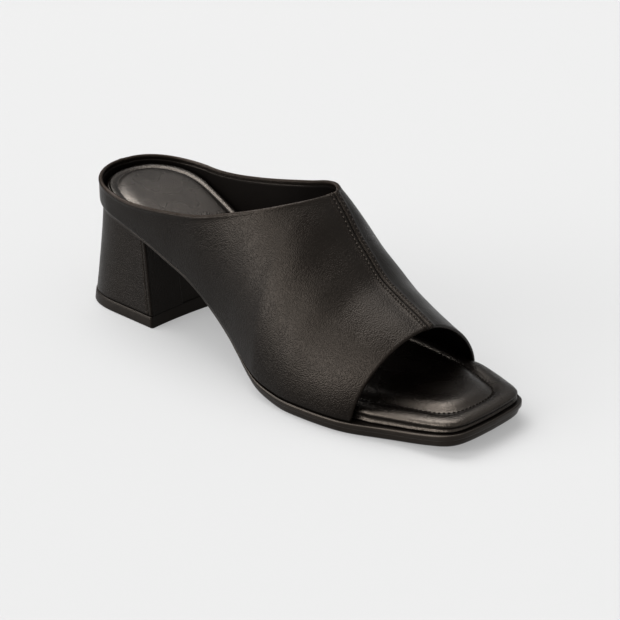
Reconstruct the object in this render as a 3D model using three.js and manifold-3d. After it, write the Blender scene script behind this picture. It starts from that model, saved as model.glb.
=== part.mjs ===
// A black leather slip-on sandal (a peep-toe mule) on a block heel: the right shoe of a pair.
// Millimetres, +Z up, toe towards +X, the foot's outer (lateral) side towards -Y.
// The origin is on the floor, under the middle of the shoe's box.
import * as THREE from "three";
import Module from "manifold-3d";

// Lengths along the shoe, from the back of the heel rim
const LENGTH = 242; // rim to the front of the outsole
const THROAT_AT = 138.5; // front of the collar, on the centre seam
const OPENING_AT = 206; // front end of the centre seam, over the toes
const OPENING_FOOT_AT = { lateral: 193.5, medial: 198.5 }; // where its edge meets the sole
const BREAST_AT = 46.3; // front face of the heel, at its top and its outer side
const BREAST_FOOT_AT = 52.4; // the same, at the floor
const BREAST_SKEW = 3.4; // how much further forward that face is at the inner side

// Widths
const BALL_WIDTH = 82.5; // last's bottom, across the ball
const SEAT_WIDTH = 55.4; // last's bottom, across the heel
const HEEL_FOOT_WIDTH = 59.4; // heel block, at the floor
const SEAM_OFFSET = 7; // how far the centre seam drifts to the outer side at the toes

// Heights above the floor
const SEAT_HEIGHT = 54; // feather line at the back
const RIM_HEIGHT = 67; // collar at the back
const THROAT_HEIGHT = 82.8; // collar at the centre seam
const TOE_SPRING = 5; // lift of the outsole's front

// Thicknesses and reliefs
const UPPER_WALL = 1.8; // leather and lining
const SOLE_THICKNESS = 6; // outsole at the forefoot
const SOLE_REACH = 2.2; // how far the outsole's upper band reaches past the last, at the ball
const SOLE_STEP = 1; // how far its lower band is set back
const FOOTBED_THICKNESS = 5; // padding and board, at the toes
const FOOTBED_HEEL_THICKNESS = 8.6; // the same, at the edge of the heel
const TOP_PIECE_THICKNESS = 5.7; // rubber under the heel
const SEAM_HALF_WIDTH = 3.2; // raised band along the centre seam, to one side
const SEAM_RISE = 0.45;
const BREAST_HOLLOW = 2; // depth of the heel's concave front
const COVER_THICKNESS = 0.8; // heel cover, whose ends stop on the heel's front
const COVER_END = 8; // distance of those ends from the middle
const CLEARANCE = 0.3; // between pieces that touch

const wasm = await Module();
wasm.setup();

const mix = (a, b, t) => a + (b - a) * t;

// A smooth curve through the rows of a table, as a function of their "at". A tight curve doesn't
// overshoot its rows, and a loose one turns more gently.
function smooth(rows, column, loose = false) {
  const xs = rows.map((row) => row.at);
  const ys = rows.map((row) => row[column]);
  const last = xs.length - 1;
  const chords = xs.slice(1).map((x, i) => (ys[i + 1] - ys[i]) / (x - xs[i]));
  const slopes = xs.map((x, i) => {
    if (i === 0) return chords[0];
    if (i === last) return chords[last - 1];
    const [before, after] = [chords[i - 1], chords[i]];
    if (loose) return mix(before, after, (x - xs[i - 1]) / (xs[i + 1] - xs[i - 1]));
    return before * after <= 0 ? 0 : (2 * before * after) / (before + after);
  });
  return (x) => {
    const t = Math.min(Math.max(x, xs[0]), xs[last]);
    let i = 0;
    while (i < last - 1 && t > xs[i + 1]) i++;
    const span = xs[i + 1] - xs[i];
    const u = (t - xs[i]) / span;
    const start = ys[i] * (1 + 2 * u) * (1 - u) ** 2 + slopes[i] * span * u * (1 - u) ** 2;
    const end = ys[i + 1] * u * u * (3 - 2 * u) + slopes[i + 1] * span * u * u * (u - 1);
    return start + end;
  };
}

const clamp01 = (t) => Math.min(Math.max(t, 0), 1);
const ease = (t) => clamp01(t) ** 2 * (3 - 2 * clamp01(t));

// Bottom outline of the last, in front of the heel's round back: the distance from the shoe's
// axis to each side. "at" is a share of LENGTH, the sides are shares of BALL_WIDTH.
const OUTLINE = [
  { at: 0.145, lateral: 0.345, medial: 0.322 },
  { at: 0.207, lateral: 0.347, medial: 0.298 },
  { at: 0.269, lateral: 0.354, medial: 0.278 },
  { at: 0.318, lateral: 0.364, medial: 0.272 },
  { at: 0.368, lateral: 0.376, medial: 0.281 },
  { at: 0.409, lateral: 0.39, medial: 0.303 },
  { at: 0.463, lateral: 0.424, medial: 0.339 },
  { at: 0.504, lateral: 0.461, medial: 0.373 },
  { at: 0.545, lateral: 0.503, medial: 0.404 },
  { at: 0.574, lateral: 0.53, medial: 0.419 },
  { at: 0.607, lateral: 0.545, medial: 0.432 },
  { at: 0.661, lateral: 0.558, medial: 0.442 },
  { at: 0.698, lateral: 0.553, medial: 0.447 },
  { at: 0.731, lateral: 0.544, medial: 0.44 },
  { at: 0.769, lateral: 0.526, medial: 0.43 },
  { at: 0.8, lateral: 0.499, medial: 0.42 },
  { at: 0.845, lateral: 0.451, medial: 0.4 },
  { at: 0.897, lateral: 0.404, medial: 0.352 },
  { at: 0.938, lateral: 0.373, medial: 0.298 },
  { at: 0.963, lateral: 0.35, medial: 0.26 },
  { at: 0.979, lateral: 0.318, medial: 0.224 },
  { at: 0.989, lateral: 0.258, medial: 0.168 },
  { at: 0.9934, lateral: 0.164, medial: 0.08 },
  { at: 0.995, lateral: 0.048, medial: -0.048 },
];

// Round back of the heel seat, a quarter of a superellipse to each side.
const BACK_AT = 1.5;
const BACK_DEPTH = 28.5;
const BACK_FULLNESS = 2.1;
const BACK_STEPS = 8;
const SEAT_LATERAL = 0.51; // outer share of the seat's width

function quarter(step, steps, fullness) {
  const angle = (step / steps) * (Math.PI / 2);
  return {
    forward: 1 - Math.cos(angle) ** (2 / fullness),
    out: Math.sin(angle) ** (2 / fullness),
  };
}

function lastRows() {
  const rows = [];
  for (let i = 0; i <= BACK_STEPS; i++) {
    const { forward, out } = quarter(i, BACK_STEPS, BACK_FULLNESS);
    rows.push({
      x: BACK_AT + BACK_DEPTH * forward,
      lateral: SEAT_LATERAL * SEAT_WIDTH * out,
      medial: (1 - SEAT_LATERAL) * SEAT_WIDTH * out,
    });
  }
  for (const { at, lateral, medial } of OUTLINE)
    rows.push({ x: at * LENGTH, lateral: lateral * BALL_WIDTH, medial: medial * BALL_WIDTH });
  return rows.map((row, i) => ({ at: i, ...row }));
}

const LAST_ROWS = lastRows();
const lastX = smooth(LAST_ROWS, "x");
const lastLateral = smooth(LAST_ROWS, "lateral");
const lastMedial = smooth(LAST_ROWS, "medial");

// The outline's parameter at a place along the shoe.
function rowAt(x) {
  let low = 0;
  let high = LAST_ROWS.length - 1;
  for (let i = 0; i < 40; i++) {
    const middle = (low + high) / 2;
    if (lastX(middle) < x) low = middle;
    else high = middle;
  }
  return (low + high) / 2;
}

// Feather line: height of the last's bottom edge. "rise" is a share of the height from the
// outsole's top to the heel seat, "spring" a share of TOE_SPRING, "sole" of SOLE_THICKNESS,
// "pad" goes from the footbed's thickness at the toes (0) to that at the heel (1).
const PROFILE = [
  { at: 0, rise: 1, spring: 0, sole: 0.18, pad: 1 },
  { at: 0.041, rise: 0.979, spring: 0, sole: 0.18, pad: 1 },
  { at: 0.107, rise: 0.927, spring: 0, sole: 0.18, pad: 0.9 },
  { at: 0.207, rise: 0.802, spring: 0, sole: 0.25, pad: 0.6 },
  { at: 0.269, rise: 0.708, spring: 0, sole: 0.3, pad: 0.4 },
  { at: 0.318, rise: 0.637, spring: 0, sole: 0.3, pad: 0.25 },
  { at: 0.368, rise: 0.53, spring: 0, sole: 0.33, pad: 0.2 },
  { at: 0.409, rise: 0.417, spring: 0, sole: 0.4, pad: 0.15 },
  { at: 0.463, rise: 0.275, spring: 0, sole: 0.5, pad: 0.1 },
  { at: 0.504, rise: 0.17, spring: 0, sole: 0.55, pad: 0 },
  { at: 0.545, rise: 0.088, spring: 0, sole: 0.7, pad: 0 },
  { at: 0.599, rise: 0.023, spring: 0, sole: 0.87, pad: 0 },
  { at: 0.653, rise: 0, spring: 0, sole: 1, pad: 0.1 },
  { at: 0.785, rise: 0, spring: 0, sole: 1, pad: 0.35 },
  { at: 0.888, rise: 0, spring: 0.24, sole: 1, pad: 0.25 },
  { at: 1, rise: 0, spring: 1, sole: 1, pad: 0 },
];

function profile(column) {
  const share = smooth(PROFILE, column);
  return (x) => share(x / LENGTH);
}

const riseShare = profile("rise");
const springShare = profile("spring");
const soleShare = profile("sole");
const padShare = profile("pad");

const soleThickness = (x) => SOLE_THICKNESS * soleShare(x);
const footbedThickness = (x) => mix(FOOTBED_THICKNESS, FOOTBED_HEEL_THICKNESS, padShare(x));
const featherHeight = (x) =>
  SOLE_THICKNESS + (SEAT_HEIGHT - SOLE_THICKNESS) * riseShare(x) + TOE_SPRING * springShare(x);

// Ridge of the upper, where its two sides meet or would meet over the foot. "height" is a share of
// THROAT_HEIGHT, "offset" of SEAM_OFFSET, towards the outer side.
const RIDGE = [
  { at: 0.08, offset: 0, height: 1.75 },
  { at: 0.25, offset: 0, height: 1.6 },
  { at: 0.413, offset: -0.4, height: 1.35 },
  { at: 0.5, offset: -0.52, height: 1.165 },
  { at: 0.5723, offset: -0.57, height: 1 },
  { at: 0.601, offset: -0.4, height: 0.931 },
  { at: 0.639, offset: -0.14, height: 0.826 },
  { at: 0.679, offset: 0.11, height: 0.734 },
  { at: 0.719, offset: 0.36, height: 0.648 },
  { at: 0.767, offset: 0.6, height: 0.589 },
  { at: 0.818, offset: 0.84, height: 0.537 },
  { at: 0.8512, offset: 1, height: 0.5 },
];
const ridgeOffset = smooth(RIDGE, "offset", true);
const ridgeHeight = smooth(RIDGE, "height", true);

function ridgePoint(x) {
  return new THREE.Vector3(
    x,
    -SEAM_OFFSET * ridgeOffset(x / LENGTH),
    THROAT_HEIGHT * ridgeHeight(x / LENGTH),
  );
}

// Sides of the upper. "apex" is the share of LENGTH at which a rib that starts at "at" would meet
// the ridge, "flare" its lean outwards, and the collar columns are shares of the height from the
// rim at the back to the throat.
const SIDES = [
  { at: 0, apex: 0.14, flare: -0.02, collarLateral: 0, collarMedial: 0 },
  { at: 0.083, apex: 0.17, flare: 0.06, collarLateral: -0.14, collarMedial: -0.21 },
  { at: 0.161, apex: 0.21, flare: 0.14, collarLateral: -0.25, collarMedial: -0.25 },
  { at: 0.219, apex: 0.25, flare: 0.14, collarLateral: -0.19, collarMedial: -0.15 },
  { at: 0.273, apex: 0.295, flare: 0.12, collarLateral: -0.09, collarMedial: 0 },
  { at: 0.368, apex: 0.38, flare: 0.08, collarLateral: 0.15, collarMedial: 0.3 },
  { at: 0.45, apex: 0.455, flare: 0.03, collarLateral: 0.5, collarMedial: 0.6 },
  { at: 0.504, apex: 0.507, flare: 0.01, collarLateral: 0.74, collarMedial: 0.85 },
  { at: 0.55, apex: 0.552, flare: 0, collarLateral: 0.93, collarMedial: 1 },
  { at: 0.5723, apex: 0.5723, flare: 0, collarLateral: 1, collarMedial: 1 },
];
const apexShare = smooth(SIDES, "apex", true);
const flareAt = smooth(SIDES, "flare", true);
const collarShare = {
  lateral: smooth(SIDES, "collarLateral", true),
  medial: smooth(SIDES, "collarMedial", true),
};

function collarHeight(x, side) {
  return mix(RIM_HEIGHT, THROAT_HEIGHT, collarShare[side](x / LENGTH));
}

// Fullness of each side's ribs: 2 is an ellipse, less is flatter.
const FULLNESS = { lateral: 2, medial: 1.8 };
const OPENING_FULLNESS = { lateral: 2, medial: 1.5 };

// One point of a rib: a quarter of an ellipse from the foot of the upper to its apex on the ridge,
// bowed forwards near the toe opening, and leaning out behind the throat.
function ribPoint(rib, angle) {
  const { foot, apex, bow, flare } = rib;
  const power = 2 / rib.fullness;
  const across = 1 - Math.cos(angle) ** power;
  const rise = (apex.z - foot.z) * Math.sin(angle) ** power;
  const out = new THREE.Vector3(foot.x - apex.x, foot.y - apex.y, 0).normalize();
  return new THREE.Vector3(
    mix(foot.x, apex.x, across) + out.x * flare * rise + bow * Math.sin(2 * angle),
    mix(foot.y, apex.y, across) + out.y * flare * rise,
    foot.z + rise,
  );
}

// Where a rib behind the throat meets the collar.
function collarAngle(rib) {
  let low = 0;
  let high = Math.PI / 2;
  for (let i = 0; i < 40; i++) {
    const middle = (low + high) / 2;
    const point = ribPoint(rib, middle);
    if (point.z < collarHeight(point.x, rib.side)) low = middle;
    else high = middle;
  }
  return low;
}

function footPoint(row, side) {
  const x = lastX(row);
  const y = side === "lateral" ? -lastLateral(row) : lastMedial(row);
  return new THREE.Vector3(x, y, featherHeight(x) + CLEARANCE);
}

const FRONT_RIBS = 13; // from the toe opening to the throat, to each side
const REAR_RIBS = 26; // from the throat to the middle of the back, to each side
const REAR_TRIALS = 400; // places tried when the rear ribs are spaced
const TOP_TRAVEL_WEIGHT = 1.5; // of the collar's travel against the foot's, in that spacing
const OPENING_BOW = { lateral: 3.4, medial: 1.6 }; // how far the opening's edge bows forwards

// Ribs of one side, from the toe opening to the back.
function sideRibs(side) {
  const ribs = [];
  for (let i = 0; i < FRONT_RIBS; i++) {
    const t = i / (FRONT_RIBS - 1);
    const foot = footPoint(rowAt(mix(OPENING_FOOT_AT[side], THROAT_AT, t)), side);
    const apex = ridgePoint(mix(OPENING_AT, THROAT_AT, t));
    const bow = OPENING_BOW[side] * (1 - t) ** 2;
    const fullness = mix(OPENING_FULLNESS[side], FULLNESS[side], ease(1.5 * t));
    ribs.push({ side, foot, apex, bow, flare: 0, fullness, front: true });
  }
  return [...ribs, ...rearRibs(side, ribs[FRONT_RIBS - 1])];
}

// Ribs behind the throat, spaced evenly by what their feet and their upper ends travel together.
function rearRibs(side, throatRib) {
  const throatRow = rowAt(THROAT_AT);
  const fullness = FULLNESS[side];
  const found = [];
  let travel = 0;
  let foot = throatRib.foot;
  let top = throatRib.apex;
  for (let i = 1; i <= REAR_TRIALS; i++) {
    const nextFoot = footPoint(throatRow * (1 - i / REAR_TRIALS), side);
    const share = nextFoot.x / LENGTH;
    const apex = ridgePoint(apexShare(share) * LENGTH);
    const flare = flareAt(share);
    const rib = { side, foot: nextFoot, apex, bow: 0, flare, fullness, front: false };
    const nextTop = ribPoint(rib, collarAngle(rib));
    travel += nextFoot.distanceTo(foot) + TOP_TRAVEL_WEIGHT * nextTop.distanceTo(top);
    found.push({ rib, travel });
    foot = nextFoot;
    top = nextTop;
  }
  const ribs = [];
  for (let i = 1; i <= REAR_RIBS; i++)
    ribs.push(found.find((item) => item.travel >= (travel * i) / REAR_RIBS - 1e-6).rib);
  return ribs;
}

// Distances from a rib's upper end at which its rows lie, before the even ones.
const TOP_ROWS = [0, 0.5, SEAM_HALF_WIDTH, SEAM_HALF_WIDTH + 0.5];
const SEAM_PROFILE = [0.3, 1, 1, 0]; // share of SEAM_RISE at each of them
const EVEN_ROWS = 9;
const RIB_SAMPLES = 80; // short steps in which a rib's length is measured

function ribRows(rib) {
  const top = rib.front ? Math.PI / 2 : collarAngle(rib);
  const points = [];
  const lengths = [0];
  for (let i = 0; i <= RIB_SAMPLES; i++) points.push(ribPoint(rib, top * (1 - i / RIB_SAMPLES)));
  for (let i = 1; i <= RIB_SAMPLES; i++)
    lengths.push(lengths[i - 1] + points[i].distanceTo(points[i - 1]));
  const total = lengths[RIB_SAMPLES];
  const along = (distance) => {
    let i = 1;
    while (i < RIB_SAMPLES && lengths[i] < distance) i++;
    const t = (distance - lengths[i - 1]) / (lengths[i] - lengths[i - 1]);
    return points[i - 1].clone().lerp(points[i], t);
  };
  const start = TOP_ROWS[TOP_ROWS.length - 1];
  const distances = [...TOP_ROWS];
  for (let i = 1; i <= EVEN_ROWS; i++) distances.push(mix(start, total, i / EVEN_ROWS));
  return distances.map(along);
}

// An indexed mesh that grows by quads, each named by its corners anticlockwise from outside.
class Surface {
  constructor() {
    this.points = [];
    this.triangles = [];
  }
  add(point) {
    this.points.push(point);
    return this.points.length - 1;
  }
  quad(a, b, c, d) {
    const [pa, pb, pc, pd] = [a, b, c, d].map((k) => this.points[k]);
    const split = pa.distanceTo(pc) <= pb.distanceTo(pd) ? [a, b, c, a, c, d] : [b, c, d, b, d, a];
    for (let i = 0; i < 6; i += 3) {
      const [p, q, r] = split.slice(i, i + 3);
      if (p !== q && q !== r && r !== p) this.triangles.push(p, q, r);
    }
  }
  normals() {
    const sums = this.points.map(() => new THREE.Vector3());
    for (let i = 0; i < this.triangles.length; i += 3) {
      const [a, b, c] = this.triangles.slice(i, i + 3);
      const ab = this.points[b].clone().sub(this.points[a]);
      const ac = this.points[c].clone().sub(this.points[a]);
      const normal = ab.cross(ac);
      for (const corner of [a, b, c]) sums[corner].add(normal);
    }
    return sums.map((sum) => sum.normalize());
  }
  geometry() {
    const positions = this.points.flatMap((point) => point.toArray());
    const geometry = new THREE.BufferGeometry();
    geometry.setAttribute("position", new THREE.Float32BufferAttribute(positions, 3));
    geometry.setIndex(this.triangles);
    return geometry;
  }
}

const EDGE_ROUNDING = 0.36; // how far the collar's edge is turned in, from each face of the wall

// The upper: one wall from the toe opening's outer end, round the back, to its inner end. Its inner
// face lies on the last, and its two sides share the points of the centre seam.
function upperGeometry() {
  const lateral = sideRibs("lateral");
  const medial = sideRibs("medial").slice(0, -1).reverse();
  const ribs = [...lateral, ...medial];
  const lastRib = ribs.length - 1;
  const rows = ribs.map(ribRows);
  const rowCount = rows[0].length;
  const sheet = new Surface();
  const ids = rows.map((points, i) =>
    points.map((point, j) => {
      const mirrored = j === 0 && i > lastRib / 2 && ribs[i].front;
      return mirrored ? null : sheet.add(point);
    }),
  );
  ids.forEach((row, i) => {
    if (row[0] === null) row[0] = ids[lastRib - i][0];
  });
  for (let i = 0; i < lastRib; i++)
    for (let j = 0; j < rowCount - 1; j++)
      sheet.quad(ids[i][j], ids[i + 1][j], ids[i + 1][j + 1], ids[i][j + 1]);
  const normals = sheet.normals();

  const wall = new Surface();
  const inner = sheet.points.map((point) => wall.add(point.clone()));
  const outer = sheet.points.map((point, k) =>
    wall.add(point.clone().addScaledVector(normals[k], UPPER_WALL)),
  );
  ids.forEach((row, i) => {
    row.forEach((k, j) => {
      if (ribs[i].front && j < SEAM_PROFILE.length && ribs[i].apex.x > THROAT_AT)
        wall.points[outer[k]]
          .copy(sheet.points[k])
          .addScaledVector(normals[k], UPPER_WALL + SEAM_RISE * SEAM_PROFILE[j]);
      if (!ribs[i].front && j === 0) {
        wall.points[outer[k]].addScaledVector(normals[k], -EDGE_ROUNDING);
        wall.points[inner[k]].addScaledVector(normals[k], EDGE_ROUNDING);
      }
    });
    wall.points[outer[row[rowCount - 1]]].z = sheet.points[row[rowCount - 1]].z;
  });
  for (let i = 0; i < sheet.triangles.length; i += 3) {
    const [a, b, c] = sheet.triangles.slice(i, i + 3);
    wall.triangles.push(outer[a], outer[b], outer[c], inner[a], inner[c], inner[b]);
  }
  for (let i = 0; i < lastRib; i++) {
    const [foot, nextFoot] = [ids[i][rowCount - 1], ids[i + 1][rowCount - 1]];
    wall.quad(outer[nextFoot], inner[nextFoot], inner[foot], outer[foot]);
    const [top, nextTop] = [ids[i][0], ids[i + 1][0]];
    if (!ribs[i].front || !ribs[i + 1].front)
      wall.quad(outer[top], inner[top], inner[nextTop], outer[nextTop]);
  }
  for (let j = 0; j < rowCount - 1; j++) {
    const [first, next] = [ids[0][j], ids[0][j + 1]];
    wall.quad(outer[next], inner[next], inner[first], outer[first]);
    const [end, endNext] = [ids[lastRib][j], ids[lastRib][j + 1]];
    wall.quad(outer[end], inner[end], inner[endNext], outer[endNext]);
  }
  return wall.geometry();
}

// A plan outline is a list of pairs, from the back to the front: a point of the outer side and the
// point of the inner side across from it.
function pairsOf(rows) {
  return rows.map((row) => {
    const x = lastX(row);
    return [new THREE.Vector2(x, -lastLateral(row)), new THREE.Vector2(x, lastMedial(row))];
  });
}

const ringOf = (pairs) => [...pairs.map((pair) => pair[0]), ...pairs.map((pair) => pair[1]).reverse()];

// Moves each point of an outline outwards, or inwards where the distance is negative.
function offsetPairs(pairs, distanceAt) {
  const ring = ringOf(pairs);
  const count = ring.length;
  const moved = ring.map((point, i) => {
    const before = ring[(i + count - 1) % count];
    const after = ring[(i + 1) % count];
    const edge = after.clone().sub(before).normalize();
    const side = i < pairs.length ? "lateral" : "medial";
    const out = new THREE.Vector2(edge.y, -edge.x);
    return point.clone().addScaledVector(out, distanceAt(point.x, side));
  });
  return pairs.map((pair, i) => [moved[i], moved[count - 1 - i]]);
}

// Shrinks an outline towards its middle line by a distance, for the rings of its upper surface.
// Within END_REACH of either end, all points move by the same share.
const END_REACH = 16;

function shrinkPairs(pairs, distanceAt) {
  const start = pairs[0][0].x;
  const end = pairs[pairs.length - 1][0].x;
  const middle = (start + end) / 2;
  const halfLength = (end - start) / 2;
  const halfAt = (x) => {
    const [a, b] = pairs.find((pair) => pair[0].x >= x);
    return (b.y - a.y) / 2;
  };
  return pairs.map(([a, b]) => {
    const distance = distanceAt(a.x);
    const half = halfAt(Math.min(Math.max(a.x, start + END_REACH), end - END_REACH));
    const keep = 1 - distance / half;
    const centre = (a.y + b.y) / 2;
    const x = middle + (a.x - middle) * (1 - distance / halfLength);
    return [
      new THREE.Vector2(x, mix(centre, a.y, keep)),
      new THREE.Vector2(x, mix(centre, b.y, keep)),
    ];
  });
}

// A closed solid from rings of pairs, each lifted to its own height, from the bottom up.
function stack(layers) {
  const surface = new Surface();
  const count = layers[0].pairs.length;
  const ids = layers.map(({ pairs, height }) =>
    ringOf(pairs).map(({ x, y }) => surface.add(new THREE.Vector3(x, y, height(x)))),
  );
  const around = 2 * count;
  for (let k = 0; k < ids.length - 1; k++)
    for (let i = 0; i < around; i++) {
      const next = (i + 1) % around;
      surface.quad(ids[k][i], ids[k][next], ids[k + 1][next], ids[k + 1][i]);
    }
  const bottom = ids[0];
  const top = ids[ids.length - 1];
  for (let i = 0; i < count - 1; i++) {
    const [across, nextAcross] = [around - 1 - i, around - 2 - i];
    surface.quad(bottom[i], bottom[across], bottom[nextAcross], bottom[i + 1]);
    surface.quad(top[i], top[i + 1], top[nextAcross], top[across]);
  }
  return surface.geometry();
}

const BACK_ROW = 0.35; // first pair of an outline, just beside the middle of the back
const TIP_ROW = LAST_ROWS.length - 1.05; // last pair, just beside the tip of the toe

function rowsBetween(from, to, count) {
  return Array.from({ length: count }, (_, i) => mix(from, to, i / (count - 1)));
}

// Outsole: thin over the heel and the shank, where the upper hides its edge, and at the forefoot a
// proud upper band over a set-back lower one. "reach" is a share of SOLE_REACH past the last, and
// the insets are shares of SOLE_STEP.
const SOLE_EDGE = [
  { at: 0, reach: 0.4 },
  { at: 0.44, reach: 0.45 },
  { at: 0.5, reach: 0.6 },
  { at: 0.56, reach: 0.9 },
  { at: 0.62, reach: 1 },
  { at: 0.77, reach: 1 },
  { at: 0.84, reach: 0.8 },
  { at: 0.9, reach: 0.6 },
  { at: 1, reach: 0.55 },
];
const edgeReach = smooth(SOLE_EDGE, "reach");
const SOLE_SIDE = [
  { inset: 2.4, height: 0 },
  { inset: 1.35, height: 0.16 },
  { inset: 1, height: 0.5 },
  { inset: 0, height: 0.57 },
  { inset: 0, height: 0.92 },
  { inset: 0.5, height: 1 },
];

function outsoleGeometry() {
  const pairs = pairsOf(rowsBetween(BACK_ROW, TIP_ROW, 52));
  const layers = SOLE_SIDE.map(({ inset, height }) => ({
    pairs: offsetPairs(pairs, (x) => {
      const reach = SOLE_REACH * edgeReach(x / LENGTH);
      return reach - inset * SOLE_STEP * soleShare(x);
    }),
    height: (x) => featherHeight(x) - soleThickness(x) * (1 - height),
  }));
  return stack(layers);
}

// Footbed: board, padding and leather in one, set inside the upper and widening a little in the
// toe opening. In its edge "inset" is in millimetres, and in its top a share of the
// channel's distance. "base" is a height over its underside, "drop" a depth under its top.
const FOOTBED_EDGE = [
  { inset: 0.8, base: 0 },
  { inset: 0, base: 0.9 },
  { inset: 0, drop: 2.4 },
  { inset: 0.8, drop: 0.9 },
  { inset: 2.2, drop: 0.1 },
];
const FOOTBED_TOP = [
  { inset: 0.55, drop: -0.5 },
  { inset: 0.92, drop: 0 },
  { inset: 1, drop: 0.8 },
  { inset: 1.08, drop: 0.1 },
  { inset: 1.7, drop: -0.3 },
];
const CHANNEL_TOE = 7.8; // distance of the stitched channel from the edge, at the toes
const CHANNEL_HEEL = 4.6; // distance of the groove from the edge, at the heel
const FOOTBED_OPEN_INSET = 0.4; // from the last's edge, in the toe opening
const FOOTBED_COVERED_INSET = 1; // the same, between the upper's walls
const FOOTBED_BALL_INSET = 2.1; // the same, just behind the toe opening, where the walls lean in
const LEAN_START = 60; // distance behind the upper's front edge where that lean begins
const WIDENING_START = 1; // distance of the change between them from the upper's front edge
const WIDENING_LENGTH = 7;

function footbedInset(x, side) {
  const front = OPENING_FOOT_AT[side];
  const lean = ease((x - front + LEAN_START) / LEAN_START);
  const widening = ease((x - front - WIDENING_START) / WIDENING_LENGTH);
  const covered = mix(FOOTBED_COVERED_INSET, FOOTBED_BALL_INSET, lean);
  return mix(covered, FOOTBED_OPEN_INSET, widening);
}

function footbedGeometry() {
  const pairs = pairsOf(rowsBetween(BACK_ROW, TIP_ROW, 56));
  const edge = offsetPairs(pairs, (x, side) => -footbedInset(x, side));
  const floor = (x) => featherHeight(x) + CLEARANCE;
  const edgeLayers = FOOTBED_EDGE.map(({ inset, base, drop }) => ({
    pairs: inset ? shrinkPairs(edge, () => inset) : edge,
    height: (x) => (drop === undefined ? floor(x) + base : floor(x) + footbedThickness(x) - drop),
  }));
  const channel = (x) => mix(CHANNEL_HEEL, CHANNEL_TOE, ease(x / LENGTH));
  const topLayers = FOOTBED_TOP.map(({ inset, drop }) => ({
    pairs: shrinkPairs(edge, (x) => channel(x) * inset),
    height: (x) => floor(x) + footbedThickness(x) - drop,
  }));
  return stack([...edgeLayers, ...topLayers]);
}

// Heel block: a leather-covered block, rounded at the back and flared towards the floor.
const HEEL_BACK_OVERHANG = 3.3; // how far its foot reaches behind the rim
const HEEL_TOP_FULLNESS = 2.35; // of its rounded back, under the seat
const HEEL_FOOT_FULLNESS = 2.8; // the same, at the floor
const HEEL_FOOT_DEPTH = 29.5; // length of its rounded back, at the floor
const HEEL_FLARE_POWER = 1.25; // above 1, the flare gathers near the floor
const HEEL_LEVELS = 6; // rings from its foot to its top
const HEEL_SIDE_STEPS = 4;
const HEEL_FIRST_STEP = 0.25; // first pair of its outline, just beside the middle of the back
const BREAST_ALLOWANCE = 4; // how far the block reaches forward for its front to be cut

// Plan of the heel at a level, from 0 at the floor to 1 at the seat.
function heelPairs(level) {
  const spread = (1 - level) ** HEEL_FLARE_POWER;
  const back = mix(BACK_AT + CLEARANCE, -HEEL_BACK_OVERHANG, spread);
  const half = mix(SEAT_WIDTH / 2 - CLEARANCE, HEEL_FOOT_WIDTH / 2, spread);
  const fullness = mix(HEEL_TOP_FULLNESS, HEEL_FOOT_FULLNESS, spread);
  const depth = mix(BACK_DEPTH, HEEL_FOOT_DEPTH, spread);
  const front = BREAST_FOOT_AT + BREAST_ALLOWANCE;
  const pairs = [];
  for (const step of rowsBetween(HEEL_FIRST_STEP, BACK_STEPS, BACK_STEPS + 1)) {
    const { forward, out } = quarter(step, BACK_STEPS, fullness);
    const x = back + depth * forward;
    pairs.push([new THREE.Vector2(x, -half * out), new THREE.Vector2(x, half * out)]);
  }
  for (let i = 1; i <= HEEL_SIDE_STEPS; i++) {
    const x = mix(back + depth, front, i / HEEL_SIDE_STEPS);
    pairs.push([new THREE.Vector2(x, -half), new THREE.Vector2(x, half)]);
  }
  return pairs;
}

const COVER_END_BEVEL = 0.2; // run of the small step at each end of the cover
const BREAST_MIDWAY = 18; // where the hollow's slope changes, from the middle
const CUT_MARGIN = 10; // how far the cutting tool reaches past the heel

// The tool that cuts the heel's front: concave across, leaning back to the top, and deeper by
// "recess" between the ends of the cover.
function breastCutter(recess) {
  const edge = HEEL_FOOT_WIDTH / 2;
  const half = edge + CUT_MARGIN;
  const columns = [half, edge, BREAST_MIDWAY, COVER_END + COVER_END_BEVEL, COVER_END];
  const across = [...columns.map((y) => -y), ...columns.reverse()];
  const hollow = (y) => BREAST_HOLLOW * Math.max(0, 1 - (y / edge) ** 2);
  const depth = (y) => hollow(y) + (Math.abs(y) <= COVER_END ? recess : 0);
  const lean = (z) => mix(BREAST_FOOT_AT, BREAST_AT, z / SEAT_HEIGHT);
  const skew = (y) => BREAST_SKEW * (y / HEEL_FOOT_WIDTH + 0.5);
  const surface = new Surface();
  const levels = [-CUT_MARGIN, SEAT_HEIGHT + CUT_MARGIN].map((z) => [
    ...across.map((y) => surface.add(new THREE.Vector3(lean(z) + skew(y) - depth(y), y, z))),
    surface.add(new THREE.Vector3(LENGTH / 2, half, z)),
    surface.add(new THREE.Vector3(LENGTH / 2, -half, z)),
  ]);
  const count = levels[0].length;
  for (let i = 0; i < count; i++) {
    const next = (i + 1) % count;
    surface.quad(levels[0][next], levels[0][i], levels[1][i], levels[1][next]);
  }
  const plan = levels[0].map((k) => new THREE.Vector2(surface.points[k].x, surface.points[k].y));
  for (const [a, b, c] of THREE.ShapeUtils.triangulateShape(plan, [])) {
    const [p, q] = [plan[b].clone().sub(plan[a]), plan[c].clone().sub(plan[a])];
    const [i, j, k] = p.cross(q) > 0 ? [a, b, c] : [a, c, b];
    surface.triangles.push(levels[0][i], levels[0][k], levels[0][j]);
    surface.triangles.push(levels[1][i], levels[1][j], levels[1][k]);
  }
  return surface.geometry();
}

// Closed geometry to a solid for cutting, and back.
function solidOf(geometry) {
  return new wasm.Manifold(
    new wasm.Mesh({
      numProp: 3,
      vertProperties: new Float32Array(geometry.getAttribute("position").array),
      triVerts: new Uint32Array(geometry.index.array),
    }),
  );
}

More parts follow.
